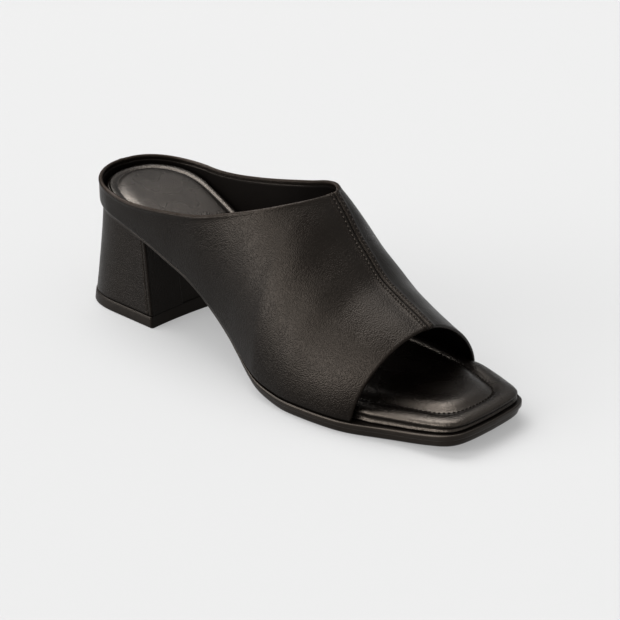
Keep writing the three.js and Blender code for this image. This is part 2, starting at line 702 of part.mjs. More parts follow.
function geometryOf(solid) {
  const { vertProperties, triVerts, numProp, numVert } = solid.getMesh();
  const positions = new Float32Array(numVert * 3);
  for (let i = 0; i < numVert; i++)
    positions.set(vertProperties.subarray(i * numProp, i * numProp + 3), i * 3);
  const geometry = new THREE.BufferGeometry();
  geometry.setAttribute("position", new THREE.BufferAttribute(positions, 3));
  geometry.setIndex(new THREE.BufferAttribute(triVerts, 1));
  return geometry;
}

function heelGeometry() {
  const foot = TOP_PIECE_THICKNESS + CLEARANCE;
  const block = stack(
    rowsBetween(0, 1, HEEL_LEVELS).map((level) => ({
      pairs: heelPairs(mix(foot / SEAT_HEIGHT, 1, level)),
      height: (x) => mix(foot, featherHeight(x) - soleThickness(x) - CLEARANCE, level),
    })),
  );
  return geometryOf(solidOf(block).subtract(solidOf(breastCutter(COVER_THICKNESS))));
}

// Top piece: the rubber block that the heel stands on, a little proud of the cover.
const TOP_PIECE_PROUD = 0.35;
const TOP_PIECE_BEVEL = 0.7;

function topPieceGeometry() {
  const edge = (level, out) => offsetPairs(heelPairs(level), () => out);
  const block = stack([
    { pairs: edge(0, TOP_PIECE_PROUD - TOP_PIECE_BEVEL), height: () => 0 },
    { pairs: edge(0, TOP_PIECE_PROUD), height: () => TOP_PIECE_BEVEL },
    {
      pairs: edge(TOP_PIECE_THICKNESS / SEAT_HEIGHT, TOP_PIECE_PROUD),
      height: () => TOP_PIECE_THICKNESS,
    },
  ]);
  return geometryOf(solidOf(block).subtract(solidOf(breastCutter(0))));
}

// Pieces of the shoe, with their colours and how matt they are.
const PIECES = [
  { name: "upper", shape: upperGeometry, color: 0x1f1c1a, roughness: 0.42 },
  { name: "footbed", shape: footbedGeometry, color: 0x1b1918, roughness: 0.4 },
  { name: "outsole", shape: outsoleGeometry, color: 0x151413, roughness: 0.55 },
  { name: "heel_block", shape: heelGeometry, color: 0x1e1c1b, roughness: 0.45 },
  { name: "heel_top_piece", shape: topPieceGeometry, color: 0x121111, roughness: 0.7 },
];

const shoe = new THREE.Group();
for (const { name, shape, color, roughness } of PIECES) {
  const material = new THREE.MeshStandardMaterial({ color, roughness, metalness: 0 });
  const mesh = new THREE.Mesh(shape(), material);
  mesh.name = name;
  shoe.add(mesh);
}

// The origin goes to the floor under the middle of the shoe's box.
const box = new THREE.Box3().setFromObject(shoe);
const middle = box.getCenter(new THREE.Vector3());
shoe.position.set(-middle.x, -middle.y, -box.min.z);

export default shoe;
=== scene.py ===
"""Looks of a black leather slip-on mule on a block heel: the right shoe of a pair."""

import math

import bpy
import numpy as np
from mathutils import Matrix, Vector


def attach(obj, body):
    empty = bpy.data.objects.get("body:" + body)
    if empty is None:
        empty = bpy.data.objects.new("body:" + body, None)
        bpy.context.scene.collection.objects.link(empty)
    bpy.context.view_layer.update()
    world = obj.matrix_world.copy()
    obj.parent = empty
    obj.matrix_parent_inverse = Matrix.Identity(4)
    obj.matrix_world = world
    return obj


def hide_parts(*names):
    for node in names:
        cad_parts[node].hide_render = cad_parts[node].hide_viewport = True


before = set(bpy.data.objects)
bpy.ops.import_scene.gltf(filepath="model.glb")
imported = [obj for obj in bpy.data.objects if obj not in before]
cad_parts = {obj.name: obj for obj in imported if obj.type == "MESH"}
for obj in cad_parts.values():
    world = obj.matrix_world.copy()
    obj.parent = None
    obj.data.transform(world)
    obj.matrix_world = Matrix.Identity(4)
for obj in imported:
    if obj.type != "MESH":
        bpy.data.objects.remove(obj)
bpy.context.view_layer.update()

# Sizes in millimetres, x from the back of the heel rim towards the toe, y towards the inner side.
# SHIFT moves them to the shared frame.
SHIFT = np.array([-119.1808, 4.5816, 0.0])
MM = 0.001

LENGTH = 242.0
THROAT_AT = 138.5
OPENING_AT = 206.0
OPENING_FOOT_AT = {"lateral": 193.5, "medial": 198.5}
BREAST_AT = 46.3
BREAST_FOOT_AT = 52.4
BREAST_SKEW = 3.4
BALL_WIDTH = 82.5
SEAT_WIDTH = 55.4
HEEL_FOOT_WIDTH = 59.4
SEAM_OFFSET = 7.0
SEAT_HEIGHT = 54.0
RIM_HEIGHT = 67.0
THROAT_HEIGHT = 82.8
TOE_SPRING = 5.0
UPPER_WALL = 1.8
SOLE_THICKNESS = 6.0
SOLE_REACH = 2.2
SOLE_STEP = 1.0
FOOTBED_THICKNESS = 5.0
FOOTBED_HEEL_THICKNESS = 8.6
TOP_PIECE_THICKNESS = 5.7
BREAST_HOLLOW = 2.0
COVER_THICKNESS = 0.8
COVER_END = 8.0
CLEARANCE = 0.3
BACK_AT = 1.5
BACK_DEPTH = 28.5
BACK_FULLNESS = 2.1
SEAT_LATERAL = 0.51
FULLNESS = {"lateral": 2.0, "medial": 1.8}
OPENING_FULLNESS = {"lateral": 2.0, "medial": 1.5}
OPENING_BOW = {"lateral": 3.4, "medial": 1.6}

# In each table, at is a place along the shoe as a share of LENGTH.
# at, outer side, inner side: shares of BALL_WIDTH
OUTLINE = [
    (0.145, 0.345, 0.322), (0.207, 0.347, 0.298), (0.269, 0.354, 0.278), (0.318, 0.364, 0.272),
    (0.368, 0.376, 0.281), (0.409, 0.39, 0.303), (0.463, 0.424, 0.339), (0.504, 0.461, 0.373),
    (0.545, 0.503, 0.404), (0.574, 0.53, 0.419), (0.607, 0.545, 0.432), (0.661, 0.558, 0.442),
    (0.698, 0.553, 0.447), (0.731, 0.544, 0.44), (0.769, 0.526, 0.43), (0.8, 0.499, 0.42),
    (0.845, 0.451, 0.4), (0.897, 0.404, 0.352), (0.938, 0.373, 0.298), (0.963, 0.35, 0.26),
    (0.979, 0.318, 0.224), (0.989, 0.258, 0.168), (0.9934, 0.164, 0.08), (0.995, 0.048, -0.048),
]
# at, shares of the heel's rise, the toe's spring, the sole's thickness and the footbed's extra
# thickness
PROFILE = [
    (0, 1, 0, 0.18, 1), (0.041, 0.979, 0, 0.18, 1), (0.107, 0.927, 0, 0.18, 0.9),
    (0.207, 0.802, 0, 0.25, 0.6), (0.269, 0.708, 0, 0.3, 0.4), (0.318, 0.637, 0, 0.3, 0.25),
    (0.368, 0.53, 0, 0.33, 0.2), (0.409, 0.417, 0, 0.4, 0.15), (0.463, 0.275, 0, 0.5, 0.1),
    (0.504, 0.17, 0, 0.55, 0), (0.545, 0.088, 0, 0.7, 0), (0.599, 0.023, 0, 0.87, 0),
    (0.653, 0, 0, 1, 0.1), (0.785, 0, 0, 1, 0.35), (0.888, 0, 0.24, 1, 0.25), (1, 0, 1, 1, 0),
]
# at, the seam line's offset as a share of SEAM_OFFSET, its height as a share of THROAT_HEIGHT
RIDGE = [
    (0.08, 0, 1.75), (0.25, 0, 1.6), (0.413, -0.4, 1.35), (0.5, -0.52, 1.165),
    (0.5723, -0.57, 1), (0.601, -0.4, 0.931), (0.639, -0.14, 0.826), (0.679, 0.11, 0.734),
    (0.719, 0.36, 0.648), (0.767, 0.6, 0.589), (0.818, 0.84, 0.537), (0.8512, 1, 0.5),
]
# at, apex and flare of the rib whose foot is there, height of the collar there on the outer and on
# the inner side: 0 is RIM_HEIGHT and 1 is THROAT_HEIGHT
SIDES = [
    (0, 0.14, -0.02, 0, 0), (0.083, 0.17, 0.06, -0.14, -0.21), (0.161, 0.21, 0.14, -0.25, -0.25),
    (0.219, 0.25, 0.14, -0.19, -0.15), (0.273, 0.295, 0.12, -0.09, 0),
    (0.368, 0.38, 0.08, 0.15, 0.3), (0.45, 0.455, 0.03, 0.5, 0.6),
    (0.504, 0.507, 0.01, 0.74, 0.85), (0.55, 0.552, 0, 0.93, 1), (0.5723, 0.5723, 0, 1, 1),
]
# at, reach: a share of SOLE_REACH
SOLE_EDGE = [
    (0, 0.4), (0.44, 0.45), (0.5, 0.6), (0.56, 0.9), (0.62, 1), (0.77, 1), (0.84, 0.8), (0.9, 0.6),
    (1, 0.55),
]
# Rows of the last's outline, counted from the back.
ARC_END = 8  # where the arc round the heel ends
TOE_START = 26  # where the curve round the toes starts


def smooth(rows, column=1, loose=False):
    """A curve through the rows of a table, as a function of column 0. A tight one doesn't
    overshoot its rows, and a loose one turns more gently."""
    xs = np.array([row[0] for row in rows], float)
    ys = np.array([row[column] for row in rows], float)
    chords = np.diff(ys) / np.diff(xs)
    before, after = chords[:-1], chords[1:]
    turning = before * after <= 0
    total = np.where(turning, 1, before + after)
    inner = np.where(turning, 0, 2 * before * after / total)
    if loose:
        share = (xs[1:-1] - xs[:-2]) / (xs[2:] - xs[:-2])
        inner = before + (after - before) * share
    slopes = np.concatenate([chords[:1], inner, chords[-1:]])

    def curve(x):
        t = np.clip(x, xs[0], xs[-1])
        i = np.clip(np.searchsorted(xs, t, side="right") - 1, 0, len(xs) - 2)
        span = xs[i + 1] - xs[i]
        u = (t - xs[i]) / span
        start = ys[i] * (1 + 2 * u) * (1 - u) ** 2 + slopes[i] * span * u * (1 - u) ** 2
        end = ys[i + 1] * u * u * (3 - 2 * u) + slopes[i + 1] * span * u * u * (u - 1)
        return start + end

    return curve


def mix(a, b, t):
    return a + (b - a) * t


def ease(t):
    t = np.clip(t, 0, 1)
    return t * t * (3 - 2 * t)


def last_rows():
    """Rows of the last's outline: number, x, and the widths of the outer and the inner side."""
    rows = []
    for angle in np.linspace(0, math.pi / 2, ARC_END + 1):
        forward = 1 - max(math.cos(angle), 0) ** (2 / BACK_FULLNESS)
        out = math.sin(angle) ** (2 / BACK_FULLNESS)
        rows.append(
            (
                BACK_AT + BACK_DEPTH * forward,
                SEAT_LATERAL * SEAT_WIDTH * out,
                (1 - SEAT_LATERAL) * SEAT_WIDTH * out,
            )
        )
    for at, lateral, medial in OUTLINE:
        rows.append((at * LENGTH, lateral * BALL_WIDTH, medial * BALL_WIDTH))
    return [(i, *row) for i, row in enumerate(rows)]


LAST = last_rows()
LAST_END = len(LAST) - 1
last_x = smooth(LAST, 1)
last_side = {"lateral": smooth(LAST, 2), "medial": smooth(LAST, 3)}
SIDE_SIGN = {"lateral": -1, "medial": 1}
fine_rows = np.linspace(0, LAST_END, 20001)
fine_x = np.maximum.accumulate(last_x(fine_rows))


def row_at(x):
    """The outline's row at a place along the last."""
    return np.interp(x, fine_x, fine_rows)


rise_share, spring_share = smooth(PROFILE, 1), smooth(PROFILE, 2)
sole_share, pad_share = smooth(PROFILE, 3), smooth(PROFILE, 4)


def feather(x):
    """Height of the last's bottom edge over the floor."""
    s = x / LENGTH
    rise = (SEAT_HEIGHT - SOLE_THICKNESS) * rise_share(s)
    return SOLE_THICKNESS + rise + TOE_SPRING * spring_share(s)


def sole_thickness(x):
    return SOLE_THICKNESS * sole_share(x / LENGTH)


def footbed_thickness(x):
    return mix(FOOTBED_THICKNESS, FOOTBED_HEEL_THICKNESS, pad_share(x / LENGTH))


ridge_offset, ridge_height = smooth(RIDGE, 1, True), smooth(RIDGE, 2, True)
apex_share, flare_at = smooth(SIDES, 1, True), smooth(SIDES, 2, True)
collar_share = {"lateral": smooth(SIDES, 3, True), "medial": smooth(SIDES, 4, True)}


def ridge_point(x):
    """Points of the line over the instep and down to the toes, along which the vamp's halves meet."""
    s = x / LENGTH
    return np.stack([x, -SEAM_OFFSET * ridge_offset(s), THROAT_HEIGHT * ridge_height(s)], -1)


def to_object(name, points, faces, materials, face_slots=None, attributes=None):
    """A mesh object of points in millimetres, placed in the shared frame."""
    mesh = bpy.data.meshes.new(name)
    mesh.from_pydata(((np.asarray(points) + SHIFT) * MM).tolist(), [], [list(f) for f in faces])
    for material in materials:
        mesh.materials.append(material)
    if face_slots is not None:
        mesh.polygons.foreach_set("material_index", np.asarray(face_slots, np.int32))
    mesh.polygons.foreach_set("use_smooth", np.full(len(faces), True))
    for key, values in (attributes or {}).items():
        layer = mesh.attributes.new(key, "FLOAT", "POINT")
        layer.data.foreach_set("value", np.asarray(values, np.float32))
    mesh.validate()
    mesh.update()
    made = bpy.data.objects.new(name, mesh)
    bpy.context.scene.collection.objects.link(made)
    return made


# Upper

FRONT_SPAN = 79.0  # length of the centre seam
EDGE_RADIUS = UPPER_WALL / 2
FOOT_WEIGHT = 0.35  # how much the foot line counts beside the collar when columns are spaced


def ribs_at(side, p, rear_row):
    """Ribs at places p along the upper: from -FRONT_SPAN at the toe opening, 0 at the throat, and
    positive round to the back."""
    front = p <= 0
    t = np.clip(1 + p / FRONT_SPAN, 0, 1)
    row = np.where(front, row_at(mix(OPENING_FOOT_AT[side], THROAT_AT, t)), rear_row(p))
    x = last_x(row)
    foot = np.stack([x, SIDE_SIGN[side] * last_side[side](row), feather(x) + CLEARANCE], -1)
    share = x / LENGTH
    apex = ridge_point(
        np.where(front, mix(OPENING_AT, THROAT_AT, t), apex_share(share) * LENGTH)
    )
    return {
        "side": side,
        "front": front,
        "foot": foot,
        "apex": apex,
        "bow": np.where(front, OPENING_BOW[side] * (1 - t) ** 2, 0.0),
        "flare": np.where(front, 0.0, flare_at(share)),
        "fullness": np.where(
            front, mix(OPENING_FULLNESS[side], FULLNESS[side], ease(1.5 * t)), FULLNESS[side]
        ),
    }


def rib_point(rib, angle):
    """Points of ribs at angles; the ribs' arrays may lack the last axis of angle."""
    extra = angle.ndim - rib["bow"].ndim
    lift = (slice(None),) * rib["bow"].ndim + (None,) * extra
    foot, apex = rib["foot"][lift], rib["apex"][lift]
    power = 2 / rib["fullness"][lift]
    cosine = np.maximum(np.cos(angle), 0)
    sine = np.maximum(np.sin(angle), 0)
    across = 1 - cosine**power
    rise = (apex[..., 2] - foot[..., 2]) * sine**power
    out = foot[..., :2] - apex[..., :2]
    out = out / np.maximum(np.linalg.norm(out, axis=-1, keepdims=True), 1e-9)
    flare = rib["flare"][lift] * rise
    bow = rib["bow"][lift] * np.sin(2 * angle)
    return np.stack(
        [
            mix(foot[..., 0], apex[..., 0], across) + out[..., 0] * flare + bow,
            mix(foot[..., 1], apex[..., 1], across) + out[..., 1] * flare,
            foot[..., 2] + rise,
        ],
        -1,
    )


def top_angle(rib):
    """The angle where a rib ends: at the ridge in front of the throat, at the collar behind it."""
    low = np.zeros(rib["bow"].shape)
    high = np.full(rib["bow"].shape, math.pi / 2)
    for _ in range(40):
        middle = (low + high) / 2
        point = rib_point(rib, middle)
        share = collar_share[rib["side"]](point[..., 0] / LENGTH)
        below = point[..., 2] < mix(RIM_HEIGHT, THROAT_HEIGHT, share)
        low = np.where(below, middle, low)
        high = np.where(below, high, middle)
    return np.where(rib["front"], math.pi / 2, low)


def rear_rows(side):
    """The outline's parameter behind the throat, as a function of the way round the collar."""
    throat = row_at(THROAT_AT)
    rows = throat * (1 - np.linspace(0, 1, 1601))
    rib = ribs_at(side, np.full(rows.shape, 1.0), lambda p: rows)
    top = rib_point(rib, top_angle(rib))
    step = FOOT_WEIGHT * np.linalg.norm(np.diff(rib["foot"], axis=0), axis=1)
    step += (1 - FOOT_WEIGHT) * np.linalg.norm(np.diff(top, axis=0), axis=1)
    travel = np.concatenate([[0], np.cumsum(step)])
    return (lambda p: np.interp(p, travel, rows)), travel[-1]


REAR = {side: rear_rows(side) for side in ("lateral", "medial")}


def sheet_points(side, p, distance):
    """Points of the last's surface, which is the inner face of the upper's wall, at places p and at
    distances along the ribs from their upper ends. distance is a function of a rib's length."""
    shape = p.shape
    rib = ribs_at(side, p.ravel(), REAR[side][0])
    top = top_angle(rib)
    samples = np.linspace(1, 0, 121)
    angles = top[:, None] * samples[None, :]
    points = rib_point(rib, angles)
    steps = np.linalg.norm(np.diff(points, axis=1), axis=2)
    lengths = np.concatenate([np.zeros((len(top), 1)), np.cumsum(steps, axis=1)], axis=1)
    total = lengths[:, -1]
    wanted = np.clip(distance(total.reshape(shape)).ravel(), 0, total)
    index = np.clip((lengths <= wanted[:, None]).sum(1) - 1, 0, lengths.shape[1] - 2)
    rows = np.arange(len(top))
    start, stop = lengths[rows, index], lengths[rows, index + 1]
    u = np.where(stop > start, (wanted - start) / np.maximum(stop - start, 1e-9), 0)
    angle = mix(angles[rows, index], angles[rows, index + 1], u)
    return rib_point(rib, angle).reshape(shape + (3,))


# The upper's grid: a column runs down each rib, with rows close together at the collar and the foot.
TOP_DISTANCES = np.array(
    [0, 0.07, 0.22, 0.46, 0.9, 1.3, 1.6, 1.78, 1.95, 2.12, 2.3, 2.6, 3.0, 3.6, 4.5, 6.0]
)
FOOT_DISTANCES = np.array([2.4, 1.6, 0.9, 0.4, 0.0])
MIDDLE_ROWS = 40
EDGE_STEPS = np.array([0, 0.07, 0.22, 0.46, 0.9, 1.5, 2.3, 3.2])
EDGE_BAND = 4.6  # where the even columns start beside the toe opening and the throat
FRONT_COLUMNS = 46
REAR_COLUMNS = 96
BACK_BAND = 3.0
BACK_STEPS = np.array([1.7, 1.0, 0.6, 0.3, 0.0])
# Columns at the throat lean towards the toe as they run down.
SKEW_REACH = 9.0
SKEW_SPREAD = 13.0
SKEW_DEPTH = 70.0
SKEW_FOOT = 72.0


def column_places(side):
    """Places of the upper's columns on one side, from the toe opening to the middle of the back."""
    whole = REAR[side][1]
    front = np.concatenate(
        [
            -FRONT_SPAN + EDGE_STEPS,
            np.linspace(-FRONT_SPAN + EDGE_BAND, -EDGE_BAND, FRONT_COLUMNS),
            -EDGE_STEPS[::-1],
        ]
    )
    rear = np.concatenate(
        [
            EDGE_STEPS[1:],
            np.linspace(EDGE_BAND, whole - BACK_BAND, REAR_COLUMNS),
            whole - BACK_STEPS,
        ]
    )
    return front, rear


def side_grid(side):
    """Points of one side, by column and row, and how many columns are in front of the throat."""
    front, rear = column_places(side)
    p = np.concatenate([front, rear])[:, None]
    nominal = np.concatenate(
        [
            TOP_DISTANCES,
            np.linspace(TOP_DISTANCES[-1], SKEW_DEPTH, MIDDLE_ROWS + 1)[1:],
            np.full(len(FOOT_DISTANCES), SKEW_FOOT),
        ]
    )
    skew = SKEW_REACH * np.exp(-((p / SKEW_SPREAD) ** 2))
    skew = skew * (1 - np.exp(-nominal / SKEW_REACH))[None, :]
    places = np.clip(p - skew, -FRONT_SPAN, None)

    def distance(total):
        d = np.empty(total.shape)
        n = len(TOP_DISTANCES)
        d[:, :n] = TOP_DISTANCES[None, :]
        share = (np.arange(1, MIDDLE_ROWS + 1) / (MIDDLE_ROWS + 1))[None, :]
        end = total[:, n : n + MIDDLE_ROWS] - FOOT_DISTANCES[0]
        d[:, n : n + MIDDLE_ROWS] = mix(TOP_DISTANCES[-1], end, share)
        d[:, n + MIDDLE_ROWS :] = total[:, n + MIDDLE_ROWS :] - FOOT_DISTANCES[None, :]
        return d

    return sheet_points(side, places, distance), len(front)


def polyline_distance(points, line, chunk=4000):
    """Distance of points from a dense line of points."""
    a, b = line[:-1], line[1:]
    ab = b - a
    squared = np.maximum((ab**2).sum(1), 1e-12)
    found = np.empty(len(points))
    for i in range(0, len(points), chunk):
        q = points[i : i + chunk, None, :] - a[None]
        t = np.clip((q * ab[None]).sum(2) / squared[None], 0, 1)
        found[i : i + chunk] = np.sqrt(((q - t[..., None] * ab[None]) ** 2).sum(2).min(1))
    return found


# Soft dents and swells of the upper: centre x and z, side, half sizes along x and z, lean of the
# long axis, and height, in millimetres.
DENTS = [
    ("lateral", 76, 55, 10, 16, 0.3, -0.35),
    ("lateral", 100, 52, 14, 20, 0.25, 0.2),
    ("lateral", 130, 46, 12, 22, 0.2, -0.15),
    ("lateral", 160, 44, 14, 12, -0.2, 0.15),
    ("lateral", 178, 36, 11, 11, -0.3, -0.12),
    ("medial", 90, 55, 12, 16, 0.2, -0.6),
    ("medial", 150, 42, 14, 12, -0.2, 0.4),
]
DENT_FACING = 2.5  # how fast a dent comes in as the wall turns to its side


def dents(points, normals):
    moved = np.zeros(len(points))
    for side, x, z, along, up, lean, height in DENTS:
        dx = points[:, 0] - x - lean * (points[:, 2] - z)
        dz = points[:, 2] - z
        facing = np.clip(normals[:, 1] * SIDE_SIGN[side] * DENT_FACING, 0, 1)
        moved += height * facing * np.exp(-((dx / along) ** 2) - (dz / up) ** 2)
    return moved


def vertex_normals(points, faces):
    """Area-weighted normals, for faces of four corners."""
    a, b, c, d = [points[faces[:, k]] for k in range(4)]
    cross = np.cross(c - a, d - b)
    sums = np.zeros_like(points)
    for k in range(4):
        np.add.at(sums, faces[:, k], cross)
    return sums / np.maximum(np.linalg.norm(sums, axis=1, keepdims=True), 1e-12)


SEAM_STITCH_OFFSET = 1.95
SEAM_STITCH_PITCH = 2.0
SEAM_STITCH_START = 1.6  # from the toe opening
SEAM_STITCH_STOP = 0.8  # from the throat
SEAM_STITCH_LENGTH = 1.25
SEAM_STITCH_RADIUS = 0.36
SEAM_STITCH_LIFT = 0.32
# distance from the middle of the raised centre seam, height
SEAM_PROFILE = [
    (0, -1.0), (0.28, -0.35), (0.75, 0.45), (1.3, 0.52), (1.7, 0.32), (1.95, 0.12), (2.15, 0.26),
    (2.5, 0.42), (3.0, 0.3), (3.8, 0.05), (4.6, 0),
]
SEAM_REACH = SEAM_PROFILE[-1][0]
# height, distance of its middle, half width
BACK_SEAM = [(-0.35, 0, 0.5), (0.22, 1.3, 0.8)]
PIPING = [(0.22, 1.2, 1.0)]
# A lighter brown on the rise beside the centre seam's valley: partly wear, partly a painted
# highlight.
SEAM_WEAR_AND_HIGHLIGHT = [(0.08, 0.75, 0.4)]
SEAM_GROOVES = [(1, SEAM_STITCH_OFFSET, 0.3), (1, 0, 0.3)]
BACK_SEAM_REACH = 8.0
FOOT_TUCK = 0.7
FOOT_TUCK_REACH = 1.8
LINING_STEP = 0.3  # the lining stands back from the turned edge
LINING_AT = 2.3
LINING_FADE = 0.4
LINING_SEEN_AT = 2.45  # from here on the lining's own leather shows
# A lighter brown along the collar and the toe opening: partly wear on the edges, partly a painted
# highlight along them.
COLLAR_WEAR_AND_HIGHLIGHT = 0.6
OPENING_WEAR_AND_HIGHLIGHT = 0.15
WEAR_AND_HIGHLIGHT_FADE = 0.6
FAR = 99.0


def swells(distance, rows):
    """Soft ridges and grooves beside a line, from rows of height, middle and half width."""
    return sum(
        height * np.exp(-(((distance - middle) / width) ** 2)) for height, middle, width in rows
    )


def seam_rise(distance):
    """Height of the raised centre seam, by the distance from its middle."""
    return np.where(
        distance < SEAM_REACH, smooth(SEAM_PROFILE)(np.minimum(distance, SEAM_REACH)), 0
    )


def upper_sheet():
    """Points of the upper's inner face, the ids of the outer and the inner side's points by column
    and row, and how many columns are in front of the throat. The sides share the points of the
    centre seam and of the middle of the back."""
    lateral, front_count = side_grid("lateral")
    medial, _ = side_grid("medial")
    rows = lateral.shape[1]
    points = np.concatenate([lateral.reshape(-1, 3), medial[:-1].reshape(-1, 3)])
    lateral_ids = np.arange(len(lateral) * rows).reshape(-1, rows)
    medial_ids = lateral_ids.size + np.arange((len(medial) - 1) * rows).reshape(-1, rows)
    medial_ids = np.concatenate([medial_ids, lateral_ids[-1:]])
    medial_ids[:front_count, 0] = lateral_ids[:front_count, 0]
    return points, (lateral_ids, medial_ids), front_count


def line_distances(points, sides, front_count):
    """Distances of points from the collar, the toe opening and the centre seam."""
    collars = [polyline_distance(points, points[ids[front_count - 1 :, 0]]) for ids in sides]
    openings = [polyline_distance(points, points[ids[0]]) for ids in sides]
    seam = polyline_distance(points, points[sides[0][:front_count, 0]])
    return np.minimum(*collars), np.minimum(*openings), seam


def grid_faces(ids, turned):
    a, b, c, d = ids[:-1, :-1], ids[:-1, 1:], ids[1:, 1:], ids[1:, :-1]
    return np.stack((a, d, c, b) if turned else (a, b, c, d), -1).reshape(-1, 4)


def without_spares(faces):
    """Faces without doubled corners, the rows they came from, and the points that are used."""
    used = np.unique(faces)
    cleaned, kept = [], []
    for i, face in enumerate(np.searchsorted(used, faces)):
        corners = list(dict.fromkeys(face.tolist()))
        if len(corners) > 2:
            cleaned.append(corners)
            kept.append(i)
    return cleaned, kept, used


def build_upper(materials):
    points, sides, front_count = upper_sheet()
    turned = (True, False)  # the outer side's faces are turned round, so that all face out
    faces = np.concatenate([grid_faces(ids, turn) for ids, turn in zip(sides, turned)])
    normals = vertex_normals(points, faces)
    to_collar, to_opening, to_seam = line_distances(points, sides, front_count)
    to_edge = np.minimum(to_collar, to_opening)
    back = np.where(points[:, 0] > BACK_SEAM_REACH, FAR, np.abs(points[:, 1]))
    from_foot = np.full(len(points), FAR)
    for ids in sides:
        from_foot[ids[:, -len(FOOT_DISTANCES) :]] = FOOT_DISTANCES

    crease = dents(points, normals)
    inward = np.maximum(EDGE_RADIUS - to_edge, 0)
    rounding = EDGE_RADIUS - np.sqrt(np.maximum(EDGE_RADIUS**2 - inward**2, 0))
    ridges = seam_rise(to_seam) + swells(back, BACK_SEAM) + swells(to_collar, PIPING)
    tuck = FOOT_TUCK * np.clip(1 - from_foot / FOOT_TUCK_REACH, 0, 1) ** 2
    step = LINING_STEP * ease((to_edge - LINING_AT) / LINING_FADE)
    outer = points + normals * (UPPER_WALL + crease + ridges - rounding - tuck)[:, None]
    inner = points + normals * (crease + rounding - step)[:, None]
    foot_ids = np.concatenate([ids[:, -1] for ids in sides])
    for layer in (outer, inner):
        layer[foot_ids, 2] = points[foot_ids, 2]

    own = np.arange(len(points))
    inner_ids = np.where(to_edge < 1e-6, own, own + len(points))
    bottoms = []
    for ids, turn in zip(sides, turned):
        a, b = ids[:-1, -1], ids[1:, -1]
        bottom = np.stack([a, inner_ids[a], inner_ids[b], b], -1)
        bottoms.append(bottom[:, ::-1] if turn else bottom)
    lined = to_edge[faces].mean(1) > LINING_SEEN_AT
    all_faces = np.concatenate([faces, inner_ids[faces][:, ::-1], *bottoms])
    slots = np.zeros(len(all_faces))
    slots[len(faces) : 2 * len(faces)] = lined
    # Painted highlight and wear together: a lighter brown along the collar, the toe opening and the
    # seam's rise.
    edge_wear_and_highlight = COLLAR_WEAR_AND_HIGHLIGHT * np.exp(-to_collar / WEAR_AND_HIGHLIGHT_FADE)
    edge_wear_and_highlight += OPENING_WEAR_AND_HIGHLIGHT * np.exp(-to_opening / WEAR_AND_HIGHLIGHT_FADE)
    edge_wear_and_highlight += swells(to_seam, SEAM_WEAR_AND_HIGHLIGHT)
    looks = {"wear_and_highlight": edge_wear_and_highlight, "groove": swells(to_seam, SEAM_GROOVES)}
    cleaned, kept, used = without_spares(all_faces)
    return to_object(
        "upper_shell",
        np.concatenate([outer, inner])[used],
        cleaned,
        materials,
        slots[kept],
        {key: np.clip(np.tile(values, 2), 0, 1)[used] for key, values in looks.items()},
    )


# Threads: place along one, as a share of its length, and radius as a share of its own
THREAD_RINGS = [(-0.46, 0.45), (-0.36, 0.8), (-0.15, 1), (0.15, 1), (0.36, 0.8), (0.46, 0.45)]
THREAD_SAG = 0.6


def ring_faces(rings, around, base=0):
    """Faces between rings of points, which are numbered from base, ring by ring."""
    faces = []
    for first in range(base, base + (rings - 1) * around, around):
        for i in range(around):
            a, b = first + i, first + (i + 1) % around
            faces.append([a, b, b + around, a + around])
    return faces


def capsules(name, places, length, radius, material, sides=8):
    """Short round threads. places is a list of (point, direction, normal), in millimetres."""
    points, faces = [], []
    for point, direction, normal in places:
        direction = direction / np.linalg.norm(direction)
        side = np.cross(direction, normal)
        side /= np.linalg.norm(side)
        up = np.cross(side, direction)
        base = len(points)
        for at, size in THREAD_RINGS:
            sag = -THREAD_SAG * radius * (2 * at) ** 2
            for k in range(sides):
                angle = 2 * math.pi * k / sides
                points.append(
                    point
                    + direction * at * length
                    + (side * math.cos(angle) + up * math.sin(angle)) * size * radius
                    + up * sag
                )
        rings = len(THREAD_RINGS)
        faces += ring_faces(rings, sides, base)
        for r, at in ((0, -0.5), (rings - 1, 0.5)):
            tip = len(points)
            points.append(point + direction * at * length - up * THREAD_SAG * radius)
            for k in range(sides):
                a = base + r * sides + k
                b = base + r * sides + (k + 1) % sides
                faces.append([b, a, tip] if r == 0 else [a, b, tip])
    return to_object(name, np.array(points), faces, [material])


def seam_stitches(material):
    places = []
    for side in ("lateral", "medial"):
        p = np.arange(-FRONT_SPAN + SEAM_STITCH_START, -SEAM_STITCH_STOP, SEAM_STITCH_PITCH)
        step = 0.25

        def at(places_along, d):
            return sheet_points(side, places_along, lambda total: np.full(total.shape, d))

        here = at(p, SEAM_STITCH_OFFSET)
        along = at(p + step, SEAM_STITCH_OFFSET) - at(p - step, SEAM_STITCH_OFFSET)
        down = at(p, SEAM_STITCH_OFFSET + step) - at(p, SEAM_STITCH_OFFSET - step)
        normals = np.cross(along, down) * (1 if side == "medial" else -1)
        normals /= np.linalg.norm(normals, axis=1, keepdims=True)
        normals *= np.where(normals[:, 2:] < 0, -1, 1)
        for point, direction, normal in zip(here, along, normals):
            places.append((point + normal * (UPPER_WALL + SEAM_STITCH_LIFT), direction, normal))
    return capsules("seam_stitches", places, SEAM_STITCH_LENGTH, SEAM_STITCH_RADIUS, material)


# Plan outlines: two columns of points, from the back to the front, on the outer and inner sides.


def pairs_of(rows):
    """The last's outline at rows."""
    x = last_x(rows)
    lateral = np.stack([x, -last_side["lateral"](rows)], -1)
    medial = np.stack([x, last_side["medial"](rows)], -1)
    return np.stack([lateral, medial], 1)


def ring_of(pairs):
    """An outline as one ring of points: up the outer side and back down the inner one."""
    return np.concatenate([pairs[:, 0], pairs[::-1, 1]])


